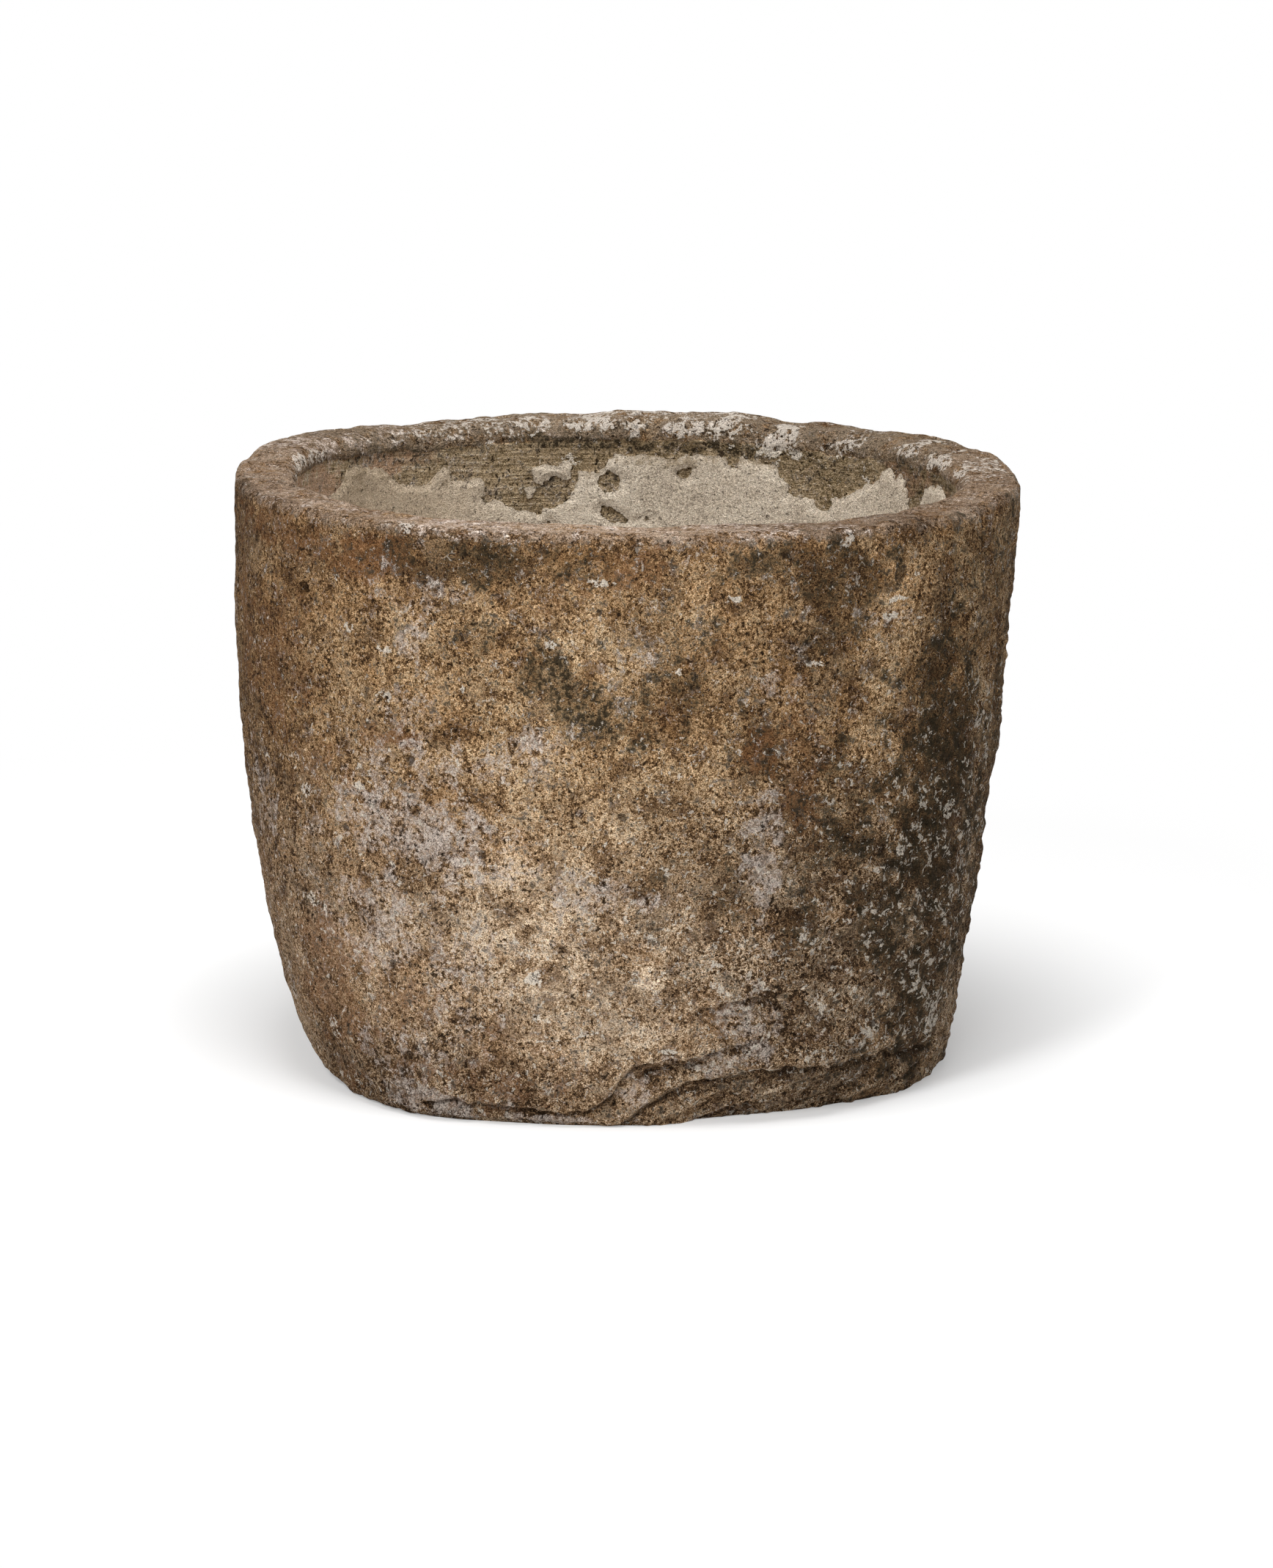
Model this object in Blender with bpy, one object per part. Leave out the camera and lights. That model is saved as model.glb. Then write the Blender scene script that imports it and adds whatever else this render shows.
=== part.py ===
# Hewn limestone trough: a round-cornered stone tub with old lime render in its hollow.
# Metres, +Z up. The origin is at the middle of the foot, and the front faces -Y.
# Angles run round the axis in degrees: 0 is the right side, 90 the back, 180 the left.

from math import cos, pi, radians, sin

import bmesh
import bpy
from mathutils import Vector, noise

# Outer form: half widths at the rim and at the foot, measured from the axis
RIM_HEIGHT = 0.600
RIM_LEFT = 0.402
RIM_RIGHT = 0.401
RIM_FRONT = 0.342
RIM_BACK = 0.355
FOOT_LEFT = 0.330
FOOT_RIGHT = 0.331
FOOT_FRONT = 0.313
FOOT_BACK = 0.305

# Fullness of each flank: 1 is a straight taper, more swells it out low down
BELLY_LEFT = 3.1
BELLY_RIGHT = 1.6
BELLY_FRONT = 2.2
BELLY_BACK = 2.0

# Plan shape: 2 is an ellipse, more squares its corners
RIM_SQUARENESS = 2.1
FOOT_SQUARENESS = 2.45

# Wall, floor and worn edges
RIM_WALL = 0.062
FLOOR_WALL = 0.075
FLOOR_THICKNESS = 0.095
FLOOR_FILLET = 0.070
OUTER_ARRIS = 0.011
INNER_ARRIS_FRONT = 0.008
INNER_ARRIS_BACK = 0.018

# Unevenness of the dressed faces: depth and length of the waves
HEWN_DEPTH = 0.0030
HEWN_LENGTH = 0.120
TOOLED_DEPTH = 0.0012
TOOLED_LENGTH = 0.150

# Wear and breakage: the largest value of each, of which the tables below give shares
RIM_WEAR = 0.0145
FOOT_WEAR = 0.048
FORM_DEPTH = 0.009
SPALL_HEIGHT = 0.058
SPALL_DEPTH = 0.034
SCAR_HEIGHT = 0.079
SCAR_DEPTH = 0.012
RENDER_LOSS_DEPTH = 0.100

# Render coat in the hollow
RENDER_THICKNESS = 0.004
SEAT_CLEARANCE = 0.0003
RENDER_TOP_MARGIN = 0.002
CUTTER_REACH = 0.030

# Rise of the rim above its height, as angle and share of RIM_WEAR: worn dips between high spots
RIM_STATIONS = [
    (0, 0.07),
    (20, 0.28),
    (35, 0.48),
    (45, 0.31),
    (54, 0.55),
    (60, 0.24),
    (67, 0.72),
    (74, 0.83),
    (82, 0.66),
    (91, 0.86),
    (99, 0.66),
    (107, 0.86),
    (116, 0.55),
    (124, 0.72),
    (131, 0.52),
    (138, 0.79),
    (150, 0.86),
    (163, 1.0),
    (180, 0.69),
    (205, 0.41),
    (235, 0.1),
    (270, 0.0),
    (320, -0.21),
    (345, -0.07),
]

# Rounding of the foot's lower edge, as angle and share of FOOT_WEAR: worn off most at the left
FOOT_ROUNDING = [
    (0, 0.25),
    (45, 0.333),
    (90, 0.25),
    (135, 0.375),
    (160, 0.625),
    (186, 1.0),
    (204, 0.542),
    (218, 0.187),
    (270, 0.167),
    (335, 0.208),
]

# Broad forms of the outer face: angle, height, half arc, half height, depth (minus swells out).
# Heights are shares of RIM_HEIGHT, and depths of FORM_DEPTH.
FACE_FORMS = {
    "scooped_oval": (-41, 0.9, 7, 0.083, 0.44),
    "right_ridge": (-29, 0.5, 6, 0.55, -0.56),
    "right_flat": (-14, 0.55, 11, 0.433, 0.56),
    "left_flat": (-148, 0.633, 13, 0.333, 0.44),
    "front_flat": (-93, 0.55, 16, 0.317, 0.33),
    "front_left_toe": (-126, 0.017, 17, 0.217, -1.0),
    "back_flat": (97, 0.5, 17, 0.4, 0.67),
    "back_left_flat": (148, 0.417, 14, 0.367, 0.56),
    "back_right_flat": (44, 0.45, 14, 0.4, 0.56),
}

# Broken strip along the foot: angle, height of its upper ridge as a share of SPALL_HEIGHT,
# then depth at the ridge and at the ground as shares of SPALL_DEPTH
FOOT_SPALL = [
    (-90, 0.069, 0.015, 0.029),
    (-85, 0.448, 0.088, 0.118),
    (-80, 0.828, 0.176, 0.353),
    (-75, 0.879, 0.235, 0.735),
    (-66, 0.983, 0.294, 0.941),
    (-57, 0.966, 0.294, 1.0),
    (-48, 1.0, 0.265, 0.824),
    (-39, 0.983, 0.206, 0.5),
    (-32, 0.897, 0.147, 0.206),
    (-25, 0.655, 0.059, 0.088),
    (-20, 0.172, 0.015, 0.029),
]

# Shallow flake scar above its left end: the same values, as shares of SCAR_HEIGHT and SCAR_DEPTH
FLAKE_SCAR = [
    (-94, 0.329, 0.042, 0.042),
    (-91, 0.506, 0.333, 0.167),
    (-87, 0.772, 0.5, 0.333),
    (-83, 0.835, 0.5, 0.417),
    (-79, 0.924, 0.5, 0.5),
    (-74, 1.0, 0.333, 0.833),
    (-71, 0.987, 0.042, 1.0),
]

# Ragged upper edge of the render: angle, drop below the rim height as a share of RENDER_LOSS_DEPTH
RENDER_EDGE = [
    (28, 0.38),
    (31, 0.3),
    (33, 0.39),
    (36, 0.37),
    (39, 0.52),
    (45, 0.62),
    (46.5, 0.73),
    (48, 0.82),
    (49.5, 0.78),
    (50.5, 0.67),
    (56, 0.65),
    (57.5, 0.46),
    (58.5, 0.34),
    (61, 0.34),
    (66, 0.27),
    (67.7, 0.39),
    (69.5, 0.3),
    (75, 0.26),
    (80, 0.33),
    (84, 0.28),
    (92, 0.31),
    (93.5, 0.43),
    (95, 0.51),
    (98.5, 0.42),
    (100.3, 0.44),
    (100.9, 0.6),
    (103, 0.78),
    (107, 0.83),
    (108.8, 0.91),
    (114, 0.86),
    (117, 0.79),
    (120, 0.74),
    (120.6, 0.5),
    (126, 0.5),
    (127.2, 0.36),
    (130, 0.36),
    (133, 0.51),
    (137, 0.47),
    (143, 0.31),
    (149, 0.26),
    (153, 0.29),
    (155, 0.44),
    (161, 0.38),
    (168, 0.55),
    (176, 0.41),
    (187, 0.48),
    (196, 0.34),
    (207, 0.58),
    (219, 0.43),
    (231, 0.6),
    (243, 0.38),
    (256, 0.5),
    (268, 0.36),
    (280, 0.47),
    (291, 0.64),
    (303, 0.42),
    (314, 0.52),
    (325, 0.35),
    (337, 0.56),
    (348, 0.44),
    (358, 0.6),
    (369, 0.4),
    (380, 0.5),
]

# Places where the render has fallen away, outlined with the same two values
RENDER_HOLES = {
    "upper_hole": [
        (95.8, 0.66), (95.6, 0.52), (93.6, 0.47), (92.0, 0.49), (91.2, 0.56),
        (91.6, 0.64), (93.4, 0.7),
    ],
    "lower_hole": [
        (96.2, 0.92), (94.8, 0.84), (92.2, 0.85), (90.2, 0.91), (88.4, 1.0),
        (90.6, 1.04), (94.0, 1.01),
    ],
    "right_hole": [
        (79.9, 0.49), (78.2, 0.42), (76.4, 0.41), (76.2, 0.5), (78.0, 0.56),
    ],
}

# Islands of render left on the bare stone, outlined the same way
RENDER_REMNANTS = {
    "render_remnant_large": [
        (110.3, 0.42), (108.6, 0.36), (106.0, 0.38), (103.6, 0.34), (101.9, 0.37),
        (102.2, 0.52), (104.2, 0.57), (106.2, 0.5), (108.2, 0.59),
    ],
    "render_remnant_small": [
        (111.2, 0.62), (109.8, 0.61), (109.6, 0.73), (111.0, 0.74),
    ],
}

# Mesh density: columns round the axis, and rows up each stretch of the profile
COLUMNS = 72
WALL_ROWS = 14
HOLLOW_ROWS = 7
ROUND_STEPS = 3
FILLET_STEPS = 5
SMOOTH_ANGLE = 32
WELD_DISTANCE = 0.00002

STONE_COLOUR = (0.235, 0.165, 0.105)
RENDER_COLOUR = (0.430, 0.385, 0.320)


def ease(share):
    return 0.5 - 0.5 * cos(pi * min(max(share, 0.0), 1.0))


# Smooth value between stations that go once round the stone
def around(stations, angle):
    angle = angle % 360
    first = stations[0]
    closing = (first[0] + 360, first[1])
    previous = first
    for station in stations[1:] + [closing]:
        if angle <= station[0]:
            share = (angle - previous[0]) / (station[0] - previous[0])
            return previous[1] + (station[1] - previous[1]) * ease(share)
        previous = station
    return first[1]


def flank(height, foot, rim, belly):
    share = min(max(height / RIM_HEIGHT, 0.0), 1.0)
    return foot + (rim - foot) * (1.0 - (1.0 - share) ** belly)


# Distance from the axis to the plain outer face, before the hewing
def planRadius(angle, height):
    across = cos(radians(angle))
    along = sin(radians(angle))
    if across > 0:
        halfWidth = flank(height, FOOT_RIGHT, RIM_RIGHT, BELLY_RIGHT)
    else:
        halfWidth = flank(height, FOOT_LEFT, RIM_LEFT, BELLY_LEFT)
    if along > 0:
        halfDepth = flank(height, FOOT_BACK, RIM_BACK, BELLY_BACK)
    else:
        halfDepth = flank(height, FOOT_FRONT, RIM_FRONT, BELLY_FRONT)
    squareness = flank(height, FOOT_SQUARENESS, RIM_SQUARENESS, 1.0)
    total = abs(across / halfWidth) ** squareness + abs(along / halfDepth) ** squareness
    return total ** (-1.0 / squareness)


def place(angle, radius, height):
    return Vector((radius * cos(radians(angle)), radius * sin(radians(angle)), height))


def waves(angle, height, length, depth):
    return depth * noise.noise(place(angle, planRadius(angle, height), height) / length)


# Depth of the broad hollows and swellings of the outer face
def faceForms(angle, height):
    depth = 0.0
    for formAngle, formHeight, halfArc, halfHeight, formDepth in FACE_FORMS.values():
        turn = (angle - formAngle + 180) % 360 - 180
        climb = height / RIM_HEIGHT - formHeight
        reach = (turn / halfArc) ** 2 + (climb / halfHeight) ** 2
        depth += FORM_DEPTH * formDepth * ease(1.0 - reach ** 0.5)
    return depth


def outerRadius(angle, height):
    hewn = waves(angle, height, HEWN_LENGTH, HEWN_DEPTH)
    return planRadius(angle, height) + hewn - faceForms(angle, height)


def wallThickness(height):
    share = (RIM_HEIGHT - height) / (RIM_HEIGHT - FLOOR_THICKNESS)
    return RIM_WALL + (FLOOR_WALL - RIM_WALL) * share


def hollowRadius(angle, height):
    tooled = waves(angle, height, TOOLED_LENGTH, TOOLED_DEPTH)
    return planRadius(angle, height) - wallThickness(height) + tooled


def rimLevel(angle):
    return RIM_HEIGHT + RIM_WEAR * around(RIM_STATIONS, angle)


# The inner arris is worn widest at the back
def innerArris(angle):
    share = ease(sin(radians(angle)))
    return INNER_ARRIS_FRONT + (INNER_ARRIS_BACK - INNER_ARRIS_FRONT) * share


def footRound(angle):
    return FOOT_WEAR * around(FOOT_ROUNDING, angle)


# Level of the render's upper limit, clear of the worn arris everywhere
def renderTop():
    lowestRim = RIM_WEAR * min(rise for angle, rise in RIM_STATIONS)
    widestArris = max(INNER_ARRIS_FRONT, INNER_ARRIS_BACK)
    return RIM_HEIGHT + lowestRim - widestArris - RENDER_TOP_MARGIN


# Points of the profile at one angle, each a share of the way along its stretch
def footPoint(angle, share):
    turn = share * pi / 2
    level = footRound(angle) * (1.0 - cos(turn))
    inset = footRound(angle) * (1.0 - sin(turn))
    return place(angle, outerRadius(angle, level) - inset, level)


def wallPoint(angle, share):
    low = footRound(angle)
    high = rimLevel(angle) - OUTER_ARRIS
    level = low + (high - low) * share
    return place(angle, outerRadius(angle, level), level)


def outerArrisPoint(angle, share):
    turn = share * pi / 2
    low = rimLevel(angle) - OUTER_ARRIS
    inset = OUTER_ARRIS * (1.0 - cos(turn))
    return place(angle, outerRadius(angle, low) - inset, low + OUTER_ARRIS * sin(turn))


def innerArrisPoint(angle, share):
    turn = share * pi / 2
    worn = innerArris(angle)
    wall = hollowRadius(angle, rimLevel(angle) - worn)
    return place(angle, wall + worn * (1.0 - sin(turn)), rimLevel(angle) - worn * (1.0 - cos(turn)))


def hollowPoint(angle, share, setIn):
    level = renderTop() + (FLOOR_THICKNESS + FLOOR_FILLET - renderTop()) * share
    return place(angle, hollowRadius(angle, level) - setIn, level)


def filletPoint(angle, share, setIn):
    turn = share * pi / 2
    centreLevel = FLOOR_THICKNESS + FLOOR_FILLET
    centreRadius = hollowRadius(angle, centreLevel) - FLOOR_FILLET
    reach = FLOOR_FILLET - setIn
    return place(angle, centreRadius + reach * cos(turn), centreLevel - reach * sin(turn))


# Rings of points along one stretch of the profile
def stretch(pointAt, count, first=0, **settings):
    angles = [360.0 * column / COLUMNS for column in range(COLUMNS)]
    shares = [step / count for step in range(first, count + 1)]
    return [[pointAt(angle, share, **settings) for angle in angles] for share in shares]


# From the flat foot up the outer face and over the top of the rim
def outerRings():
    foot = stretch(footPoint, ROUND_STEPS)
    wall = stretch(wallPoint, WALL_ROWS, first=1)
    arris = stretch(outerArrisPoint, ROUND_STEPS, first=1)
    return foot + wall + arris


# From the render's upper limit down to the floor of the hollow, set in by a distance
def hollowRings(setIn):
    wall = stretch(hollowPoint, HOLLOW_ROWS, setIn=setIn)
    fillet = stretch(filletPoint, FILLET_STEPS, first=1, setIn=setIn)
    return wall + fillet


# Joins neighbouring rings with bands of faces, then caps the ends or closes the cycle.
# Each band is split along the same diagonals, so two lofts over like rings seat on each other.
def loft(name, rings, cyclic=False):
    mesh = bpy.data.meshes.new(name)
    bm = bmesh.new()
    loops = [[bm.verts.new(point) for point in points] for points in rings]
    pairs = list(zip(loops, loops[1:]))
    if cyclic:
        pairs.append((loops[-1], loops[0]))
    for lower, upper in pairs:
        for i in range(len(lower)):
            bm.faces.new((lower[i - 1], lower[i], upper[i]))
            bm.faces.new((lower[i - 1], upper[i], upper[i - 1]))
    if not cyclic:
        bm.faces.new(loops[0])
        bm.faces.new(loops[-1])
    bmesh.ops.recalc_face_normals(bm, faces=bm.faces[:])
    bm.to_mesh(mesh)
    bm.free()
    body = bpy.data.objects.new(name, mesh)
    bpy.context.scene.collection.objects.link(body)
    return body


def finish(body, material):
    body.data.materials.append(material)
    body.data.shade_smooth()
    body.data.set_sharp_from_angle(angle=radians(SMOOTH_ANGLE))
    return body


def hide(cutter):
    cutter.hide_render = True
    cutter.display_type = "WIRE"
    return cutter


# Cuts a body, then joins the doubled points that a cut leaves where its edges meet
def cut(body, cutter, operation="DIFFERENCE"):
    boolean = body.modifiers.new(cutter.name, "BOOLEAN")
    boolean.operation = operation
    boolean.solver = "EXACT"
    boolean.object = cutter
    weld = body.modifiers.new(cutter.name + "_weld", "WELD")
    weld.merge_threshold = WELD_DISTANCE


def stoneMaterial(name, colour, roughness):
    material = bpy.data.materials.new(name)
    material.use_nodes = True
    shader = material.node_tree.nodes["Principled BSDF"]
    shader.inputs["Base Color"].default_value = (*colour, 1.0)
    shader.inputs["Roughness"].default_value = roughness
    shader.inputs["Metallic"].default_value = 0.0
    return material


# Wedge that takes a broken strip off the foot: steep under its ridge, deeper at the ground
def breakCutter(name, stations, highest, deepest):
    sections = []
    for angle, ridgeShare, ridgeDepthShare, groundDepthShare in stations:
        ridge = highest * ridgeShare
        ridgeDepth = deepest * ridgeDepthShare
        groundDepth = deepest * groundDepthShare
        ridgeRadius = outerRadius(angle, ridge)
        groundRadius = outerRadius(angle, 0.0)
        slope = (ridgeRadius - ridgeDepth - groundRadius + groundDepth) / ridge
        below = -CUTTER_REACH
        sections.append([
            place(angle, ridgeRadius + CUTTER_REACH, ridge + ridgeDepth),
            place(angle, ridgeRadius - ridgeDepth, ridge),
            place(angle, groundRadius - groundDepth + slope * below, below),
            place(angle, ridgeRadius + CUTTER_REACH, below),
        ])
    return hide(loft(name, sections))


def edgePoint(angle, drop, reach):
    height = RIM_HEIGHT - RENDER_LOSS_DEPTH * drop
    return place(angle, hollowRadius(angle, height) + reach, height)


# Closed band above the ragged edge, which takes the render's upper part away
def raggedCutter():
    top = RIM_HEIGHT + CUTTER_REACH
    lowOut = [edgePoint(angle, drop, CUTTER_REACH) for angle, drop in RENDER_EDGE]
    lowIn = [edgePoint(angle, drop, -CUTTER_REACH) for angle, drop in RENDER_EDGE]
    highOut = [Vector((point.x, point.y, top)) for point in lowOut]
    highIn = [Vector((point.x, point.y, top)) for point in lowIn]
    return hide(loft("ragged_edge_cutter", [lowOut, highOut, highIn, lowIn], cyclic=True))


# Prism through the wall of the hollow, along the axis of an outline on that wall
def patchCutter(name, outline):
    inner = [edgePoint(angle, drop, -CUTTER_REACH) for angle, drop in outline]
    outer = [edgePoint(angle, drop, CUTTER_REACH) for angle, drop in outline]
    return loft(name, [inner, outer])


def renderShell(name):
    back = hollowRings(SEAT_CLEARANCE)
    face = hollowRings(SEAT_CLEARANCE + RENDER_THICKNESS)
    return loft(name, face[::-1] + back)


def buildStone(material):
    rings = outerRings() + stretch(innerArrisPoint, ROUND_STEPS) + hollowRings(0.0)
    body = finish(loft("stone_body", rings), material)
    cut(body, breakCutter("foot_spall_cutter", FOOT_SPALL, SPALL_HEIGHT, SPALL_DEPTH))
    cut(body, breakCutter("flake_scar_cutter", FLAKE_SCAR, SCAR_HEIGHT, SCAR_DEPTH))
    return body


def buildRender(material):
    lining = finish(renderShell("render_lining"), material)
    cut(lining, raggedCutter())
    for name, outline in RENDER_HOLES.items():
        cut(lining, hide(patchCutter(name + "_cutter", outline)))
    coat = hide(renderShell("render_coat_guide"))
    remnants = []
    for name, outline in RENDER_REMNANTS.items():
        remnant = finish(patchCutter(name, outline), material)
        cut(remnant, coat, "INTERSECT")
        remnants.append(remnant)
    return [lining] + remnants


# Stands the trough centred on the origin, with every piece and cutter moved alike
def centre(stone):
    points = [vertex.co for vertex in stone.data.vertices]
    middle = [(min(p[axis] for p in points) + max(p[axis] for p in points)) / 2 for axis in (0, 1)]
    carrier = bpy.data.objects.new("trough", None)
    bpy.context.scene.collection.objects.link(carrier)
    for body in list(bpy.context.scene.objects):
        if body != carrier:
            body.parent = carrier
    carrier.location = (-middle[0], -middle[1], 0.0)


def main():
    for old in list(bpy.data.objects):
        bpy.data.objects.remove(old, do_unlink=True)
    stone = buildStone(stoneMaterial("weathered_limestone", STONE_COLOUR, 0.92))
    buildRender(stoneMaterial("lime_render", RENDER_COLOUR, 0.95))
    centre(stone)


main()
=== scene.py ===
# Hewn limestone trough: weathered stone, lime render in its hollow, plain stage, soft light and camera.
# Metres, +Z up, front towards -Y. Angles run round the axis in degrees: 0 is right, 90 back, -90 front.

from math import cos, pi, radians, sin

import bpy
import numpy as np
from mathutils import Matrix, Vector, kdtree, noise
from mathutils.bvhtree import BVHTree


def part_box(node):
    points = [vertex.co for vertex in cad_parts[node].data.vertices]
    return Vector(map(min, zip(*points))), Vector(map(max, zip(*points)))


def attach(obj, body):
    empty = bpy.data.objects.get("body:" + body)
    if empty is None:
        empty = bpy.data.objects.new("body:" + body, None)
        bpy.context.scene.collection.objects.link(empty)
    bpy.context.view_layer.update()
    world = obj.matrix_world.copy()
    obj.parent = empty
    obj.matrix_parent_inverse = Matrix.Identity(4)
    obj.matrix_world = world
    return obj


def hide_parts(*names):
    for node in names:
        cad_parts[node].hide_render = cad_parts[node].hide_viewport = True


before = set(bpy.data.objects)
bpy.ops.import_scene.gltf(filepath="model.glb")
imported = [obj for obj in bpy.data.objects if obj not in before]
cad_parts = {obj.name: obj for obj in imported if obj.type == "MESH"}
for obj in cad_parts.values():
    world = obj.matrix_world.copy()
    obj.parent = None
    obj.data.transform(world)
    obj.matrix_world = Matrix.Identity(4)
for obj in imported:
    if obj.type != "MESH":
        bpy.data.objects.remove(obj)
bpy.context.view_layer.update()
dice = np.random.default_rng(11)

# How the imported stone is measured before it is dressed
survey = {
    "axis": (0.0001, -0.0061),  # middle of the plan
    "turns": 720,  # rays round the stone
    "start": 0.7,  # rays to the outer face start this far from the axis
    "outerLevels": np.concatenate([np.arange(0.0006, 0.09, 0.0025), np.arange(0.09, 0.586, 0.01)]),
    "hollowLevels": np.arange(0.175, 0.572, 0.011),
    "blend": 2.0,  # degrees over which the facets are smoothed out
    "blendLevels": 1.3,  # the same up the wall, in steps of the levels
    "footLimit": 0.085,  # below this the broken foot keeps its edges
    "footBlend": 0.8,  # degrees, for the foot
    "rimBlend": 1.2,  # degrees, for the top of the rim
    "hollowTop": 0.571,  # above this the hollow's wall goes straight up
    "faceRadius": 0.335,  # for unrolling the outer face
    "wallRadius": 0.30,  # for unrolling the hollow's wall
}


# Points round the axis from their radius, turn in radians and level
def aroundAxis(radius, turn, level):
    ax, ay = survey["axis"]
    return np.stack([ax + radius * np.cos(turn), ay + radius * np.sin(turn), level], 2)


def turnsOf():
    return 360.0 * np.arange(survey["turns"]) / survey["turns"]


def treeOf(nodeName):
    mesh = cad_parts[nodeName].data
    points = [vertex.co.copy() for vertex in mesh.vertices]
    return BVHTree.FromPolygons(points, [tuple(face.vertices) for face in mesh.polygons])


# Radius of a surface all the way round, at each level
def castRound(tree, levels, inward):
    ax, ay = survey["axis"]
    found = np.zeros((len(levels), survey["turns"]))
    for column, angle in enumerate(np.radians(turnsOf())):
        ray = Vector((cos(angle), sin(angle), 0.0))
        for row, level in enumerate(levels):
            start = Vector((ax, ay, level)) + (ray * survey["start"] if inward else ray * 0.0)
            distance = tree.ray_cast(start, -ray if inward else ray)[3]
            found[row, column] = survey["start"] - distance if inward else distance
    return found


# Level of the rim's top all the way round
def castDown(tree, radii):
    ax, ay = survey["axis"]
    angles = np.radians(turnsOf())
    drops = [
        tree.ray_cast(Vector((ax + r * cos(a), ay + r * sin(a), 1.0)), Vector((0, 0, -1)))[3]
        for a, r in zip(angles, radii)
    ]
    return 1.0 - np.array(drops)


# Blends values that run once round the stone
def blendTurns(values, degrees):
    waves = np.fft.rfftfreq(survey["turns"], d=360.0 / survey["turns"])
    keep = np.exp(-2.0 * (pi * waves * degrees) ** 2)
    return np.fft.irfft(np.fft.rfft(values, axis=-1) * keep, n=survey["turns"], axis=-1)


# Blends values from level to level
def blendRows(values, steps):
    reach = int(np.ceil(3 * steps))
    weights = np.exp(-0.5 * (np.arange(-reach, reach + 1) / steps) ** 2)
    weights /= weights.sum()
    line = np.pad(values, ((reach, reach), (0, 0)), mode="reflect", reflect_type="odd")
    return sum(w * line[i : i + len(values)] for i, w in enumerate(weights))


# Reads a surveyed field at any angle and level
def readField(levels, values, angle, level):
    angle, level = np.broadcast_arrays(angle, level)
    place = (angle % 360.0) / 360.0 * survey["turns"]
    left = np.floor(place).astype(int)
    share = place - left
    left %= survey["turns"]
    right = (left + 1) % survey["turns"]
    row = np.clip(np.searchsorted(levels, level) - 1, 0, len(levels) - 2)
    rise = (level - levels[row]) / (levels[row + 1] - levels[row])
    low = values[row, left] * (1 - share) + values[row, right] * share
    high = values[row + 1, left] * (1 - share) + values[row + 1, right] * share
    return low + (high - low) * rise


def readRing(values, angle):
    return np.interp(angle % 360.0, np.append(turnsOf(), 360.0), np.append(values, values[0]))


print("Measuring the packed stone")
stoneTree = treeOf("stone_body")
outerLevels = survey["outerLevels"]
hollowLevels = survey["hollowLevels"]
outerField = castRound(stoneTree, outerLevels, inward=True)
hollowField = castRound(stoneTree, hollowLevels, inward=False)
rimField = castDown(stoneTree, (outerField[-1] + hollowField[-1]) / 2)
wall = outerLevels > survey["footLimit"]
outerField[wall] = blendRows(blendTurns(outerField[wall], survey["blend"]), survey["blendLevels"])
outerField[~wall] = blendTurns(outerField[~wall], survey["footBlend"])
hollowField = blendRows(blendTurns(hollowField, survey["blend"]), survey["blendLevels"])
rimField = blendTurns(rimField, survey["rimBlend"])


def outerAt(angle, level):
    return readField(outerLevels, outerField, angle, level)


def hollowAt(angle, level):
    return readField(hollowLevels, hollowField, angle, np.minimum(level, survey["hollowTop"]))


def rimAt(angle):
    return readRing(rimField, angle)


def smooth(share):
    share = np.clip(share, 0.0, 1.0)
    return share * share * (3.0 - 2.0 * share)


def turnBetween(angle, middle):
    return (angle - middle + 180.0) % 360.0 - 180.0


# Soft patches on a face. Each is an angle, a level, a half arc, a half height and a strength.
def patchMask(patches, angle, level, ragged):
    mask = np.zeros(angle.shape)
    for middle, height, halfArc, halfHeight, strength in patches:
        across = turnBetween(angle, middle) / halfArc
        reach = np.hypot(across, (level - height) / halfHeight) + ragged
        mask = np.maximum(mask, strength * smooth((1.45 - reach) / 0.9))
    return mask


# The same with soft sides, adding up, for broad changes of tone
def broadMask(patches, angle, level, ragged):
    mask = np.zeros(angle.shape)
    for middle, height, halfArc, halfHeight, strength in patches:
        reach = np.hypot(turnBetween(angle, middle) / halfArc, (level - height) / halfHeight) + ragged
        mask += strength * smooth((1.6 - reach) / 1.2)
    return mask


# Noise over a grid of points: size is that of its largest swell, shift moves it elsewhere
def roll(spots, size, octaves=2, shift=0.0):
    spread = spots.reshape(-1, 3) / size + shift
    values = [noise.fractal(spot, 1.0, 2.0, octaves) for spot in spread.tolist()]
    return np.array(values).reshape(spots.shape[:2])


# Even shares of a way, without its start
def sharesOf(count):
    return np.linspace(0, 1, count + 1)[1:]


# Rounded corner between the hollow's wall and its floor, which the stone and the render share
hollowCorner = {
    "level": 0.165,  # where the rounding starts
    "radius": 0.07,
}

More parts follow.
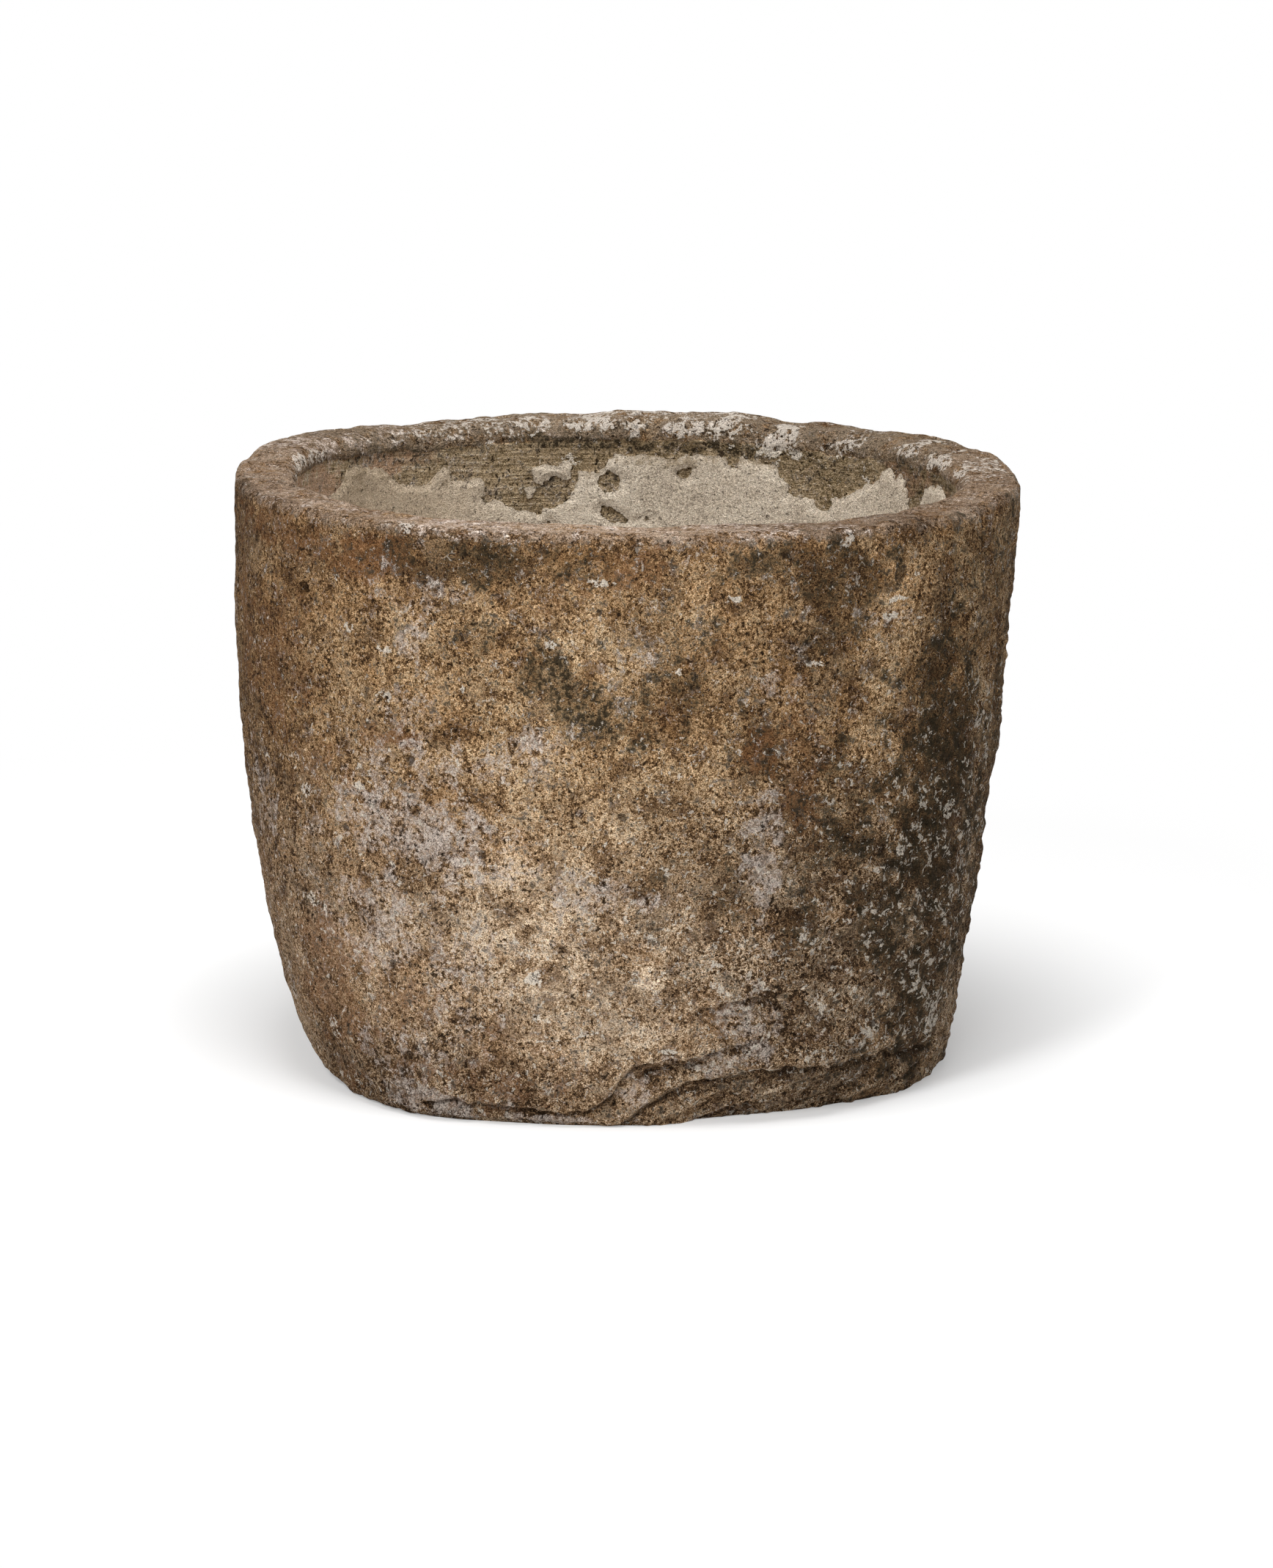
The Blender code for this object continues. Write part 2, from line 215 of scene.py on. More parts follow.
# The stone
stone = {
    "frontStep": 0.33,  # degrees between columns where the photograph looks
    "backStep": 0.60,
    "wallStep": 0.0031,  # metres between rows
    "footStep": 0.0013,  # the same over the broken foot
    "rimStep": 0.0022,
    "underShares": (0.3, 0.6, 0.8, 0.9, 0.96, 0.99),  # rows of the resting face, from the middle out
    "footLevels": (0.0, 0.0006, 0.0016, 0.0032, 0.0055, 0.0085),  # first rows of the face
    "footTop": 0.108,
    "wallRun": 0.49,  # lengths that set how many rows each stretch gets
    "arrisRun": 0.016,
    "rimRun": 0.042,
    "lipRun": 0.026,
    "hollowRun": 0.10,
    "hollowLow": 0.485,  # below this the render hides the wall
    "deepLevels": (0.470, 0.445, 0.41, 0.36, 0.30, 0.24, 0.19),
    "outerArris": 0.009,
    "innerArrisFront": 0.010,
    "innerArrisBack": 0.021,
    "lumps": 0.0020,  # depth of the unevenness at 80 mm
    "swells": 0.0014,  # at 30 mm
    "crumbs": 0.0009,  # and at 11 mm
    "rimWear": 0.0024,  # lumps on top of the rim and over its inner edge
    "wallSwells": 0.0006,  # the same on the hollow's bare wall
    "wallWear": 0.0008,
    "wallSink": 0.0004,  # how far that wall is set back
    "furrows": 0.0028,  # slanting tooling low on the right
    "strata": 0.0016,  # layers in the broken recess
    "slantRadius": 0.34,  # for unrolling furrows and layers
    "bandDrop": 0.018,  # how far the rim's finish comes down the outer face
    "bandSoft": 0.016,
    "pits": 260,  # small weathered holes
    "pitSize": (0.0022, 0.0060),
}

# How the stone has worn along its cracks, and the painted shadow and highlight beside them, in metres
crackWearAndShade = {
    "bend": 0.0022,  # height over which the step begins
    "fade": 0.030,  # height over which it dies out, and its reach from the line
    "nearShadow": 0.005,  # the painted shadow right below the line
    "farShadow": 0.020,
    "litEdge": 0.006,  # the painted highlight on the edge above it
    "openGroove": 0.005,  # a groove this deep counts as wholly broken
}

# Places where the outer arris is chipped back: angle, half arc, depth
arrisChips = [
    (-110, 7, 0.009), (-118, 3, 0.005), (-126, 2.5, 0.004), (-98, 4, 0.003), (-66, 3, 0.003),
    (-140, 4, 0.004), (-38, 3, 0.004), (25, 5, 0.006), (64, 4, 0.005), (103, 5, 0.006), (142, 4, 0.005),
    (170, 5, 0.004),
]

# Dents and holes that the photograph shows: angle, level, radius, depth
dents = [
    (-145.3, 0.5265, 0.0050, 0.0065), (-125.5, 0.3700, 0.0052, 0.0050), (-123.6, 0.2685, 0.0045, 0.0020),
    (-132.0, 0.3020, 0.0040, 0.0025), (-111.5, 0.2940, 0.0038, 0.0025), (-94.5, 0.5260, 0.0034, 0.0035),
    (-140.0, 0.4530, 0.0032, 0.0030), (-107.4, 0.4445, 0.0042, 0.0020), (-105.7, 0.2520, 0.0042, 0.0025),
    (-104.4, 0.3573, 0.0034, 0.0025), (-117.2, 0.1850, 0.0065, 0.0020), (-118.0, 0.1760, 0.0045, 0.0020),
    (-116.0, 0.1400, 0.0060, 0.0022), (-116.8, 0.1290, 0.0050, 0.0020), (-95.3, 0.1720, 0.0055, 0.0020),
    (-93.1, 0.1520, 0.0042, 0.0020), (-86.2, 0.2080, 0.0050, 0.0022), (-84.0, 0.1950, 0.0036, 0.0020),
    (-101.0, 0.1880, 0.0036, 0.0020), (-88.6, 0.1550, 0.0040, 0.0020), (-110.2, 0.2260, 0.0036, 0.0020),
    (-127.0, 0.2360, 0.0040, 0.0022), (-60.4, 0.4720, 0.0040, 0.0030), (-44.2, 0.5480, 0.0110, 0.0022),
    (-46.2, 0.5360, 0.0100, 0.0020),
]

# Cracks and broken edges: points as angle and level, then groove width, groove depth, the step by
# which the stone below the line stands back, and how dark the painted shadow below the line is
cracks = {
    "toe": ([(-126, 0.016), (-123, 0.020), (-119.8, 0.0208), (-116.0, 0.0175), (-112.0, 0.0204),
             (-109.5, 0.0165), (-106.4, 0.0138), (-101.4, 0.0128), (-97.5, 0.0144), (-95.0, 0.023),
             (-92.8, 0.0311)], 0.0017, 0.0060, 0.0042, 0.26),
    "flake": ([(-92.8, 0.0311), (-91.0, 0.0486), (-88.5, 0.0635), (-85.7, 0.0681), (-81.7, 0.0656),
               (-78.1, 0.0684), (-73.7, 0.0766), (-70.0, 0.0790)], 0.0018, 0.0060, 0.0040, 0.24),
    "split": ([(-86.5, 0.0575), (-84.9, 0.0595), (-81.0, 0.0592), (-78.5, 0.0630), (-76.5, 0.0665)],
              0.0015, 0.0050, 0.0018, 0.16),
    "undercut": ([(-90.5, 0.0020), (-87.4, 0.0160), (-82.7, 0.0325), (-78.3, 0.0440), (-71.3, 0.0470),
                  (-67.0, 0.0515), (-58.1, 0.0515), (-50.0, 0.0500), (-41.0, 0.0485), (-32.5, 0.0440),
                  (-26.0, 0.0420)], 0.0034, 0.0050, 0.0012, 0.30),
    "upper": ([(-77.5, 0.122), (-73.5, 0.128), (-70.0, 0.133), (-67.0, 0.130), (-63.5, 0.123)],
              0.0020, 0.0050, 0.0026, 0.18),
    "hair": ([(-71.0, 0.300), (-70.6, 0.220), (-70.8, 0.150)], 0.0012, 0.0012, 0.0, 0.0),
    "groove": ([(-25.4, 0.600), (-25.2, 0.569), (-23.9, 0.546), (-24.2, 0.520)], 0.0040, 0.0040, 0.0, 0.0),
}

# A pale scratch above the foot, in colour only
scratch = [(-108.8, 0.0885), (-101.8, 0.0916), (-98.0, 0.0958), (-94.6, 0.1014), (-92.4, 0.1046)]

# Weathering on the outer face. Angles above 0 are on the back, which the photograph doesn't show.
outerBloom = [
    (-105.1, 0.400, 1.6, 0.012, 0.8), (-124.2, 0.491, 2.6, 0.010, 0.55), (-119.7, 0.538, 4.0, 0.010, 0.5),
    (-86.8, 0.238, 2.4, 0.010, 0.7), (-125.4, 0.301, 11.4, 0.060, 0.75), (-123.8, 0.283, 6.8, 0.026, 0.9),
    (-104.9, 0.387, 4.7, 0.026, 0.5), (-67.3, 0.277, 2.9, 0.067, 0.85), (-95.0, 0.243, 6.8, 0.022, 0.55),
    (-131.7, 0.198, 6.9, 0.054, 0.6), (-123.3, 0.023, 7.4, 0.018, 0.85), (-132.1, 0.059, 5.0, 0.048, 0.4),
    (-69.5, 0.112, 5.3, 0.031, 0.6), (-66.1, 0.068, 2.2, 0.018, 0.6), (-78.2, 0.060, 5.2, 0.010, 0.6),
    (-89.5, 0.030, 3.0, 0.018, 0.75), (-73.0, 0.066, 5.0, 0.008, 0.6), (-122.8, 0.355, 11.1, 0.037, 0.55),
    (-125.3, 0.419, 6.7, 0.015, 0.45), (-105.5, 0.405, 2.4, 0.011, 0.6), (-159.0, 0.295, 6.0, 0.040, 0.5),
    (-126.0, 0.533, 6.6, 0.023, 0.35), (-124.2, 0.490, 2.7, 0.013, 0.6), (-144.2, 0.264, 3.6, 0.027, 0.45),
    (-115.9, 0.295, 9.6, 0.011, 0.5), (-109.4, 0.284, 5.4, 0.028, 0.45), (-118.1, 0.154, 6.2, 0.069, 0.4),
    (-126.1, 0.069, 10.0, 0.027, 0.4), (-88.9, 0.468, 4.2, 0.033, 0.35), (-67.4, 0.446, 4.2, 0.015, 0.45),
    (-62.8, 0.483, 3.0, 0.013, 0.4), (-28.5, 0.234, 5.1, 0.066, 0.2), (-47.6, 0.509, 5.2, 0.008, 0.5),
    (-68.4, 0.340, 3.0, 0.018, 0.5), (-101.0, 0.006, 9.0, 0.006, 0.9), (62.0, 0.330, 11.0, 0.080, 0.5),
    (118.0, 0.180, 10.0, 0.070, 0.6), (95.0, 0.480, 9.0, 0.030, 0.4), (158.0, 0.140, 8.0, 0.060, 0.5),
    (20.0, 0.160, 7.0, 0.060, 0.5), (140.0, 0.450, 9.0, 0.050, 0.35),
]

outerFlecks = [
    (-129.7, 0.4775, 1.2, 0.0040, 1.0), (-135.9, 0.4950, 1.0, 0.0045, 0.9),
    (-126.7, 0.6010, 1.2, 0.0060, 1.0), (-129.8, 0.4306, 1.3, 0.0050, 0.9),
    (-117.1, 0.4449, 1.0, 0.0045, 0.9), (-134.0, 0.3390, 1.5, 0.0050, 0.9),
    (-145.7, 0.3201, 1.5, 0.0070, 0.9), (-146.4, 0.2096, 1.5, 0.0080, 0.9),
    (-98.3, 0.2911, 1.4, 0.0040, 1.0), (-102.2, 0.4913, 1.1, 0.0040, 1.0),
    (-94.2, 0.5546, 2.0, 0.0035, 0.9), (-138.6, 0.5404, 0.7, 0.0060, 0.8),
    (-44.9, 0.5240, 2.0, 0.0040, 1.0), (-47.1, 0.5090, 1.7, 0.0045, 1.0), (-39.9, 0.5008, 1.6, 0.0065, 0.9),
    (-59.1, 0.4691, 1.5, 0.0050, 1.0), (-53.9, 0.5862, 1.4, 0.0060, 1.1), (-81.8, 0.4667, 1.2, 0.0045, 0.9),
    (-42.6, 0.3294, 1.2, 0.0060, 1.0), (-38.5, 0.3122, 1.3, 0.0050, 1.0), (-50.4, 0.2984, 1.5, 0.0040, 0.8),
    (-72.7, 0.5377, 1.6, 0.0040, 0.9), (-32.3, 0.2966, 1.2, 0.0120, 0.9), (-65.6, 0.4324, 1.8, 0.0060, 0.6),
    (-29.2, 0.0750, 2.7, 0.0150, 0.8), (-106.1, 0.1910, 1.2, 0.0070, 0.8),
    (-144.7, 0.0740, 2.0, 0.0090, 0.7), (-41.0, 0.5455, 0.9, 0.0040, 0.9),
    (-106.0, 0.1560, 1.6, 0.0060, 0.9), (-106.4, 0.1150, 1.6, 0.0050, 0.9),
    (-75.0, 0.1680, 1.5, 0.0080, 0.8), (-82.5, 0.0800, 1.3, 0.0040, 0.9),
]

outerSoot = [
    (-112.5, 0.567, 15.0, 0.020, 0.70), (-62.4, 0.571, 12.2, 0.020, 0.62), (-55.0, 0.548, 5.5, 0.030, 0.50),
    (-104.8, 0.460, 4.1, 0.029, 0.75), (-96.6, 0.428, 5.9, 0.022, 0.7), (-113.7, 0.493, 4.2, 0.014, 0.45),
    (-80.8, 0.436, 3.9, 0.042, 0.7), (-68.8, 0.390, 3.9, 0.050, 0.55), (-34.0, 0.250, 12.0, 0.220, 0.78),
    (-33.9, 0.315, 11.5, 0.085, 0.85), (-34.0, 0.110, 12.0, 0.110, 0.70), (-42.8, 0.437, 1.8, 0.026, 0.6),
    (-53.3, 0.288, 5.9, 0.042, 0.62), (-45.7, 0.202, 8.5, 0.038, 0.68), (-67.9, 0.386, 3.4, 0.034, 0.45),
    (-104.2, 0.4656, 3.6, 0.022, 0.80), (-56.2, 0.3548, 3.2, 0.034, 0.7), (-97.8, 0.4423, 3.4, 0.018, 0.80),
    (-94.3, 0.4035, 2.2, 0.024, 0.85), (-87.1, 0.4299, 3.4, 0.036, 0.65), (-80.2, 0.4593, 3.2, 0.016, 0.70),
    (-37.3, 0.4100, 1.2, 0.034, 0.75), (-60.4, 0.2100, 3.0, 0.030, 0.6), (-44.5, 0.3425, 3.2, 0.020, 0.8),
    (-45.8, 0.5700, 3.4, 0.013, 0.6), (-55.8, 0.5067, 7.0, 0.030, 0.35), (-103.2, 0.5806, 4.0, 0.012, 0.60),
    (-118.7, 0.5739, 5.0, 0.014, 0.60), (-26.9, 0.519, 14.2, 0.075, 0.42),
    (-47.0, 0.040, 19.0, 0.012, 0.35), (-59.2, 0.494, 5.4, 0.022, 0.55), (-87.0, 0.254, 2.5, 0.019, 0.6),
    (-74.2, 0.249, 3.0, 0.030, 0.5), (-84.2, 0.500, 10.0, 0.022, 0.4), (-82.3, 0.460, 4.7, 0.055, 0.45),
    (-102.5, 0.416, 5.9, 0.018, 0.35), (-56.9, 0.331, 8.9, 0.030, 0.4), (-34.8, 0.597, 1.9, 0.012, 0.4),
    (-67.0, 0.030, 20.0, 0.016, 0.10), (-10.0, 0.300, 14.0, 0.260, 0.6), (14.0, 0.380, 13.0, 0.160, 0.6),
    (45.0, 0.560, 16.0, 0.035, 0.7), (84.0, 0.290, 12.0, 0.120, 0.6), (112.0, 0.560, 15.0, 0.030, 0.7),
    (130.0, 0.300, 8.0, 0.110, 0.5), (170.0, 0.500, 12.0, 0.050, 0.5), (60.0, 0.090, 14.0, 0.050, 0.6),
    (175.0, 0.260, 9.0, 0.070, 0.4),
]

outerRust = [
    (-132.9, 0.572, 5.6, 0.020, 0.9), (-128.3, 0.390, 3.0, 0.010, 0.8), (-60.6, 0.340, 4.6, 0.040, 0.65),
    (-134.2, 0.562, 9.6, 0.022, 0.6), (-148.0, 0.575, 16.0, 0.022, 0.65), (-155.5, 0.442, 9.7, 0.076, 0.5),
    (-142.8, 0.356, 6.1, 0.026, 0.5), (-144.0, 0.115, 9.0, 0.080, 0.55), (-131.6, 0.391, 4.0, 0.013, 0.5),
    (-115.1, 0.041, 12.8, 0.031, 0.55), (-109.7, 0.097, 7.5, 0.023, 0.4), (-62.6, 0.386, 4.2, 0.059, 0.45),
    (-67.9, 0.388, 3.2, 0.034, 1.05), (-83.5, 0.420, 6.0, 0.022, 0.5), (-102.4, 0.539, 5.9, 0.025, 0.45),
    (-78.1, 0.129, 6.3, 0.023, 0.35), (-128.5, 0.121, 7.0, 0.027, 0.4), (-151.6, 0.594, 8.6, 0.021, 0.5),
    (-89.5, 0.572, 4.7, 0.021, 0.55), (-168.0, 0.200, 9.0, 0.090, 0.45), (150.0, 0.330, 10.0, 0.090, 0.45),
    (75.0, 0.520, 9.0, 0.040, 0.45), (30.0, 0.250, 9.0, 0.060, 0.4),
]

outerTan = [
    (-41.4, 0.5430, 1.9, 0.018, 0.5), (-123.3, 0.471, 15.8, 0.073, 0.5), (-94.2, 0.486, 5.9, 0.029, 0.6),
    (-85.8, 0.340, 8.5, 0.066, 0.4), (-109.1, 0.207, 7.4, 0.049, 0.45), (-30.5, 0.537, 3.3, 0.029, 0.5),
    (105.0, 0.400, 12.0, 0.060, 0.5), (50.0, 0.200, 10.0, 0.060, 0.4), (-48.0, 0.5170, 1.7, 0.012, 0.6),
    (-46.0, 0.5290, 1.8, 0.012, 0.6), (-44.0, 0.5410, 1.7, 0.012, 0.6),
]

# Places where the face is rough from breaking and tooling
outerRough = [
    (-48, 0.17, 30, 0.20, 1.0), (-20, 0.30, 26, 0.30, 0.9), (-125, 0.03, 24, 0.05, 0.7),
    (70, 0.25, 60, 0.28, 0.7), (165, 0.2, 30, 0.2, 0.4),
]

# Places strewn with small pale crumbs
outerCrumbs = [
    (-36.1, 0.130, 4.4, 0.030, 0.85), (-55.8, 0.126, 3.5, 0.022, 0.75), (-45.0, 0.080, 6.0, 0.020, 0.80),
    (-69.5, 0.112, 6.3, 0.031, 0.60), (-53.3, 0.205, 8.7, 0.022, 0.45), (-28.5, 0.234, 6.1, 0.070, 0.65),
    (-50.0, 0.070, 9.0, 0.014, 0.70), (-30.0, 0.080, 5.0, 0.040, 0.80), (-62.0, 0.175, 8.0, 0.030, 0.45),
    (-45.0, 0.130, 16.0, 0.070, 0.40), (-40.0, 0.240, 12.0, 0.090, 0.42), (-66.0, 0.0575, 9.0, 0.005, 0.75),
    (-52.0, 0.0570, 8.0, 0.004, 0.60), (-76.0, 0.135, 5.0, 0.020, 0.50), (-70.0, 0.210, 4.0, 0.050, 0.45),
    (-88.0, 0.220, 9.0, 0.060, 0.30), (-118.0, 0.180, 12.0, 0.070, 0.25), (-44.0, 0.505, 6.0, 0.020, 0.30),
    (-48.0, 0.340, 10.0, 0.060, 0.25), (-22.0, 0.330, 6.0, 0.120, 0.45), (60.0, 0.140, 22.0, 0.090, 0.55),
    (150.0, 0.120, 20.0, 0.080, 0.50), (100.0, 0.280, 16.0, 0.080, 0.35),
    (-170.0, 0.140, 12.0, 0.080, 0.40), (10.0, 0.240, 12.0, 0.120, 0.50),
]

# Broad light and dark on the outer face, with how far the tone goes up or down: partly the stone's own
# tone, partly painted light and shade, such as the darker broken recess and toe crack low on the front and
# right
outerShade = [
    (-167.0, 0.430, 18.0, 0.170, -0.16), (-140.0, 0.575, 24.0, 0.035, -0.14),
    (-106.0, 0.580, 12.0, 0.022, -0.07), (-101.0, 0.340, 12.0, 0.150, 0.13),
    (-112.0, 0.170, 22.0, 0.085, 0.15), (-76.0, 0.500, 8.0, 0.050, 0.14), (-75.0, 0.165, 8.0, 0.040, 0.14),
    (-55.0, 0.520, 6.0, 0.095, -0.16), (-31.0, 0.200, 14.0, 0.120, -0.07),
    (-141.0, 0.020, 13.0, 0.045, -0.14), (-91.0, 0.030, 5.0, 0.022, 0.09),
    (-38.0, 0.200, 12.0, 0.090, 0.05), (-27.0, 0.500, 7.0, 0.080, 0.08), (-42.0, 0.590, 8.0, 0.014, -0.15),
    (-70.0, 0.440, 9.0, 0.050, -0.06), (-40.0, 0.240, 12.0, 0.090, -0.06),
    (-50.0, 0.018, 28.0, 0.028, -0.05), (-84.0, 0.320, 6.0, 0.060, -0.08),
    (-83.0, 0.028, 8.0, 0.026, -0.04), (-90.0, 0.090, 16.0, 0.045, 0.10), (-45.0, 0.520, 5.0, 0.050, 0.08),
    (-49.5, 0.556, 3.2, 0.014, -0.10), (-41.4, 0.5430, 2.2, 0.018, 0.05), (-67.9, 0.388, 3.2, 0.034, -0.10),
    (-37.3, 0.4100, 1.4, 0.034, -0.06), (-50.0, 0.560, 12.0, 0.030, -0.05),
    (20.0, 0.300, 26.0, 0.200, -0.10), (80.0, 0.200, 26.0, 0.120, 0.08), (150.0, 0.420, 26.0, 0.140, -0.10),
    (110.0, 0.480, 20.0, 0.060, 0.06), (90.0, 0.020, 60.0, 0.030, -0.12),
]

# Weathering on the hollow's bare wall and over its worn arris
hollowStain = [
    (109.4, 0.592, 6.1, 0.007, 0.9), (79.6, 0.583, 11.2, 0.007, 1.0), (100.0, 0.586, 12.5, 0.007, 0.8),
    (61.8, 0.578, 5.9, 0.006, 0.6), (48.5, 0.566, 8.4, 0.012, 0.30), (126.9, 0.584, 6.4, 0.006, 0.5),
    (111.8, 0.533, 8.7, 0.014, 0.25), (145.3, 0.590, 8.2, 0.007, 0.4), (29.9, 0.584, 7.2, 0.008, 0.3),
    (134.4, 0.571, 5.0, 0.010, 0.2), (92.0, 0.545, 5.0, 0.008, 0.4), (88.0, 0.600, 30.0, 0.008, 0.35),
]

hollowCrust = [
    (134.0, 0.604, 7.1, 0.005, 0.6), (108.9, 0.607, 5.3, 0.007, 0.7), (93.1, 0.604, 9.8, 0.010, 1.0),
    (73.5, 0.602, 12.5, 0.010, 0.95), (57.6, 0.592, 4.8, 0.015, 1.0), (45.6, 0.589, 4.5, 0.009, 0.9),
    (29.3, 0.601, 3.2, 0.006, 0.9), (17.4, 0.598, 4.9, 0.008, 0.9), (38.5, 0.572, 1.2, 0.020, 0.55),
    (124.5, 0.606, 9.0, 0.008, 0.7), (113.6, 0.600, 6.2, 0.010, 0.6), (43.1, 0.602, 5.1, 0.005, 0.5),
    (84.0, 0.610, 34.0, 0.008, 0.62), (167.0, 0.603, 7.0, 0.008, 0.8), (178.0, 0.596, 4.0, 0.006, 0.6),
    (104.0, 0.571, 1.6, 0.003, 0.9), (101.5, 0.566, 1.2, 0.005, 0.8), (-176.0, 0.600, 4.0, 0.006, 0.5),
    (7.0, 0.600, 4.0, 0.008, 0.8), (-4.0, 0.602, 6.0, 0.008, 0.5),
]

hollowRust = [
    (165.0, 0.572, 16.0, 0.032, 0.95), (140.8, 0.588, 12.5, 0.012, 0.5), (30.6, 0.558, 4.3, 0.019, 0.6),
    (33.0, 0.586, 2.2, 0.014, 0.7), (16.3, 0.569, 8.4, 0.009, 0.5),
]

# Painted light on the left of the hollow's bare wall, where less light falls, and darker tone on its right;
# with how far the tone goes up or down
hollowShade = [
    (170.0, 0.570, 22.0, 0.050, 0.40), (20.0, 0.575, 15.0, 0.040, -0.20), (50.0, 0.575, 9.0, 0.025, -0.08),
    (124.0, 0.575, 12.0, 0.020, 0.06), (88.0, 0.535, 30.0, 0.025, 0.05),
]

# Light and dark on top of the rim, then its pale worn stretches
rimShade = [
    (-58.0, 0.605, 14.0, 0.030, -0.14), (-92.0, 0.605, 10.0, 0.030, 0.05),
    (-15.0, 0.605, 20.0, 0.030, -0.04), (92.0, 0.605, 30.0, 0.030, 0.03), (-38.0, 0.605, 9.0, 0.030, -0.06),
    (178.0, 0.605, 12.0, 0.030, 0.03),
]

rimPale = [
    (158.0, 0.610, 9.0, 0.020, 0.5), (-114.6, 0.604, 12.8, 0.012, 0.45), (-123.3, 0.600, 2.3, 0.004, 0.6),
    (-93.1, 0.604, 8.4, 0.008, 0.40), (-66.8, 0.604, 12.6, 0.010, 0.45), (137.0, 0.610, 6.0, 0.010, 0.4),
    (120.0, 0.610, 14.0, 0.020, 0.2), (80.0, 0.610, 16.0, 0.020, 0.25), (-150.0, 0.604, 9.0, 0.008, 0.2),
]


def chipDepth(angle):
    depth = np.zeros(angle.shape)
    for middle, halfArc, size in arrisChips:
        depth += size * smooth(1.0 - np.abs(turnBetween(angle, middle)) / halfArc)
    return depth


def columnsOf(coarse):
    front = np.arange(-177.0, -3.0, stone["frontStep"] * coarse)
    back = np.arange(-3.0, 183.0, stone["backStep"] * coarse)
    return np.concatenate([front, back])


# Rows of the profile from the middle of the foot, up the face, over the rim and down to the floor
def stoneProfile(angle, coarse):
    ring = np.stack([np.cos(np.radians(angle)) * 9, np.sin(np.radians(angle)) * 9, angle * 0], 1)
    waver = roll(ring[None], 1.0, 3)[0]
    rim = rimAt(angle)
    outerWorn = stone["outerArris"] * (1 + 0.25 * waver) + chipDepth(angle)
    facing = smooth(0.5 + 0.5 * np.sin(np.radians(angle)) * 1.4)
    innerWorn = stone["innerArrisFront"] + (stone["innerArrisBack"] - stone["innerArrisFront"]) * facing
    innerWorn = innerWorn * (1 + 0.18 * roll(ring[None], 0.7, 3, shift=5.0)[0])
    faceTop = rim - outerWorn
    topOuter = outerAt(angle, faceTop)
    hollowTop = rim - innerWorn
    topInner = hollowAt(angle, hollowTop)
    wallStep = stone["wallStep"] * coarse
    rimStep = stone["rimStep"] * coarse
    rows = []

    def add(zone, radius, level):
        rows.append((zone, radius + 0 * angle, level + 0 * angle))

    footLevels, footTop = stone["footLevels"], stone["footTop"]
    foot = outerAt(angle, outerLevels[0])
    for share in stone["underShares"]:
        add("under", foot * share, 0.0)
    for height in [*footLevels, *np.arange(footLevels[-1], footTop, stone["footStep"] * coarse)[1:]]:
        add("outer", outerAt(angle, height), height)
    for share in sharesOf(int(stone["wallRun"] / wallStep) - 1):
        height = footTop + (faceTop - footTop) * share
        add("outer", outerAt(angle, height), height)
    for share in sharesOf(int(stone["arrisRun"] / rimStep)):
        turn = share * pi / 2
        add("arris", topOuter - outerWorn * (1 - cos(turn)), faceTop + outerWorn * sin(turn))
    for share in sharesOf(int(stone["rimRun"] / rimStep)):
        add("rim", topOuter - outerWorn + (topInner + innerWorn - topOuter + outerWorn) * share, rim)
    for share in sharesOf(int(stone["lipRun"] / rimStep)):
        turn = share * pi / 2
        add("lip", topInner + innerWorn * (1 - sin(turn)), rim - innerWorn * (1 - cos(turn)))
    for share in sharesOf(int(stone["hollowRun"] / rimStep)):
        height = hollowTop + (stone["hollowLow"] - hollowTop) * share
        add("hollow", hollowAt(angle, height), height)
    start, bend = hollowCorner["level"], hollowCorner["radius"]
    for height in [*stone["deepLevels"], start]:
        add("deep", hollowAt(angle, height), height)
    corner = hollowAt(angle, start)
    for turn in (0.4, 0.8, 1.2, pi / 2):
        add("deep", corner - bend * (1 - cos(turn)), start - bend * sin(turn))
    for share in (0.66, 0.33):
        add("deep", (corner - bend) * share, start - bend)
    return rows


# Points of a profile turned round the axis, as rows by columns by xyz
def turned(rows, angle):
    radius = np.array([row[1] for row in rows])
    level = np.array([row[2] for row in rows])
    return aroundAxis(radius, np.radians(angle)[None], level)


# Outward directions of such a grid, which closes on itself round the stone
def facings(points):
    along = np.roll(points, -1, 1) - np.roll(points, 1, 1)
    up = np.gradient(points, axis=0)
    found = np.cross(along, up)
    return found / np.maximum(np.linalg.norm(found, axis=2, keepdims=True), 1e-12)


# Distance from places on an unrolled wall to a line of points
def chainDistance(spots, u, v):
    nearest = np.full(u.shape, 1.0)
    for (u0, v0), (u1, v1) in zip(spots, spots[1:]):
        du, dv = u1 - u0, v1 - v0
        share = np.clip(((u - u0) * du + (v - v0) * dv) / (du * du + dv * dv), 0, 1)
        nearest = np.minimum(nearest, np.hypot(u - u0 - du * share, v - v0 - dv * share))
    return nearest


# The same on the outer face, and how far above the line a place lies
def lineDistance(line, angle, level):
    scale = radians(1.0) * survey["faceRadius"]
    nearest = chainDistance([(a * scale, z) for a, z in line], angle * scale, level)
    return nearest, level - np.interp(angle, [a for a, z in line], [z for a, z in line])


def addMasks(mesh, masks):
    for name, values in masks.items():
        layer = mesh.attributes.new(name, "FLOAT", "POINT")
        layer.data.foreach_set("value", np.ascontiguousarray(values, np.float32).ravel())


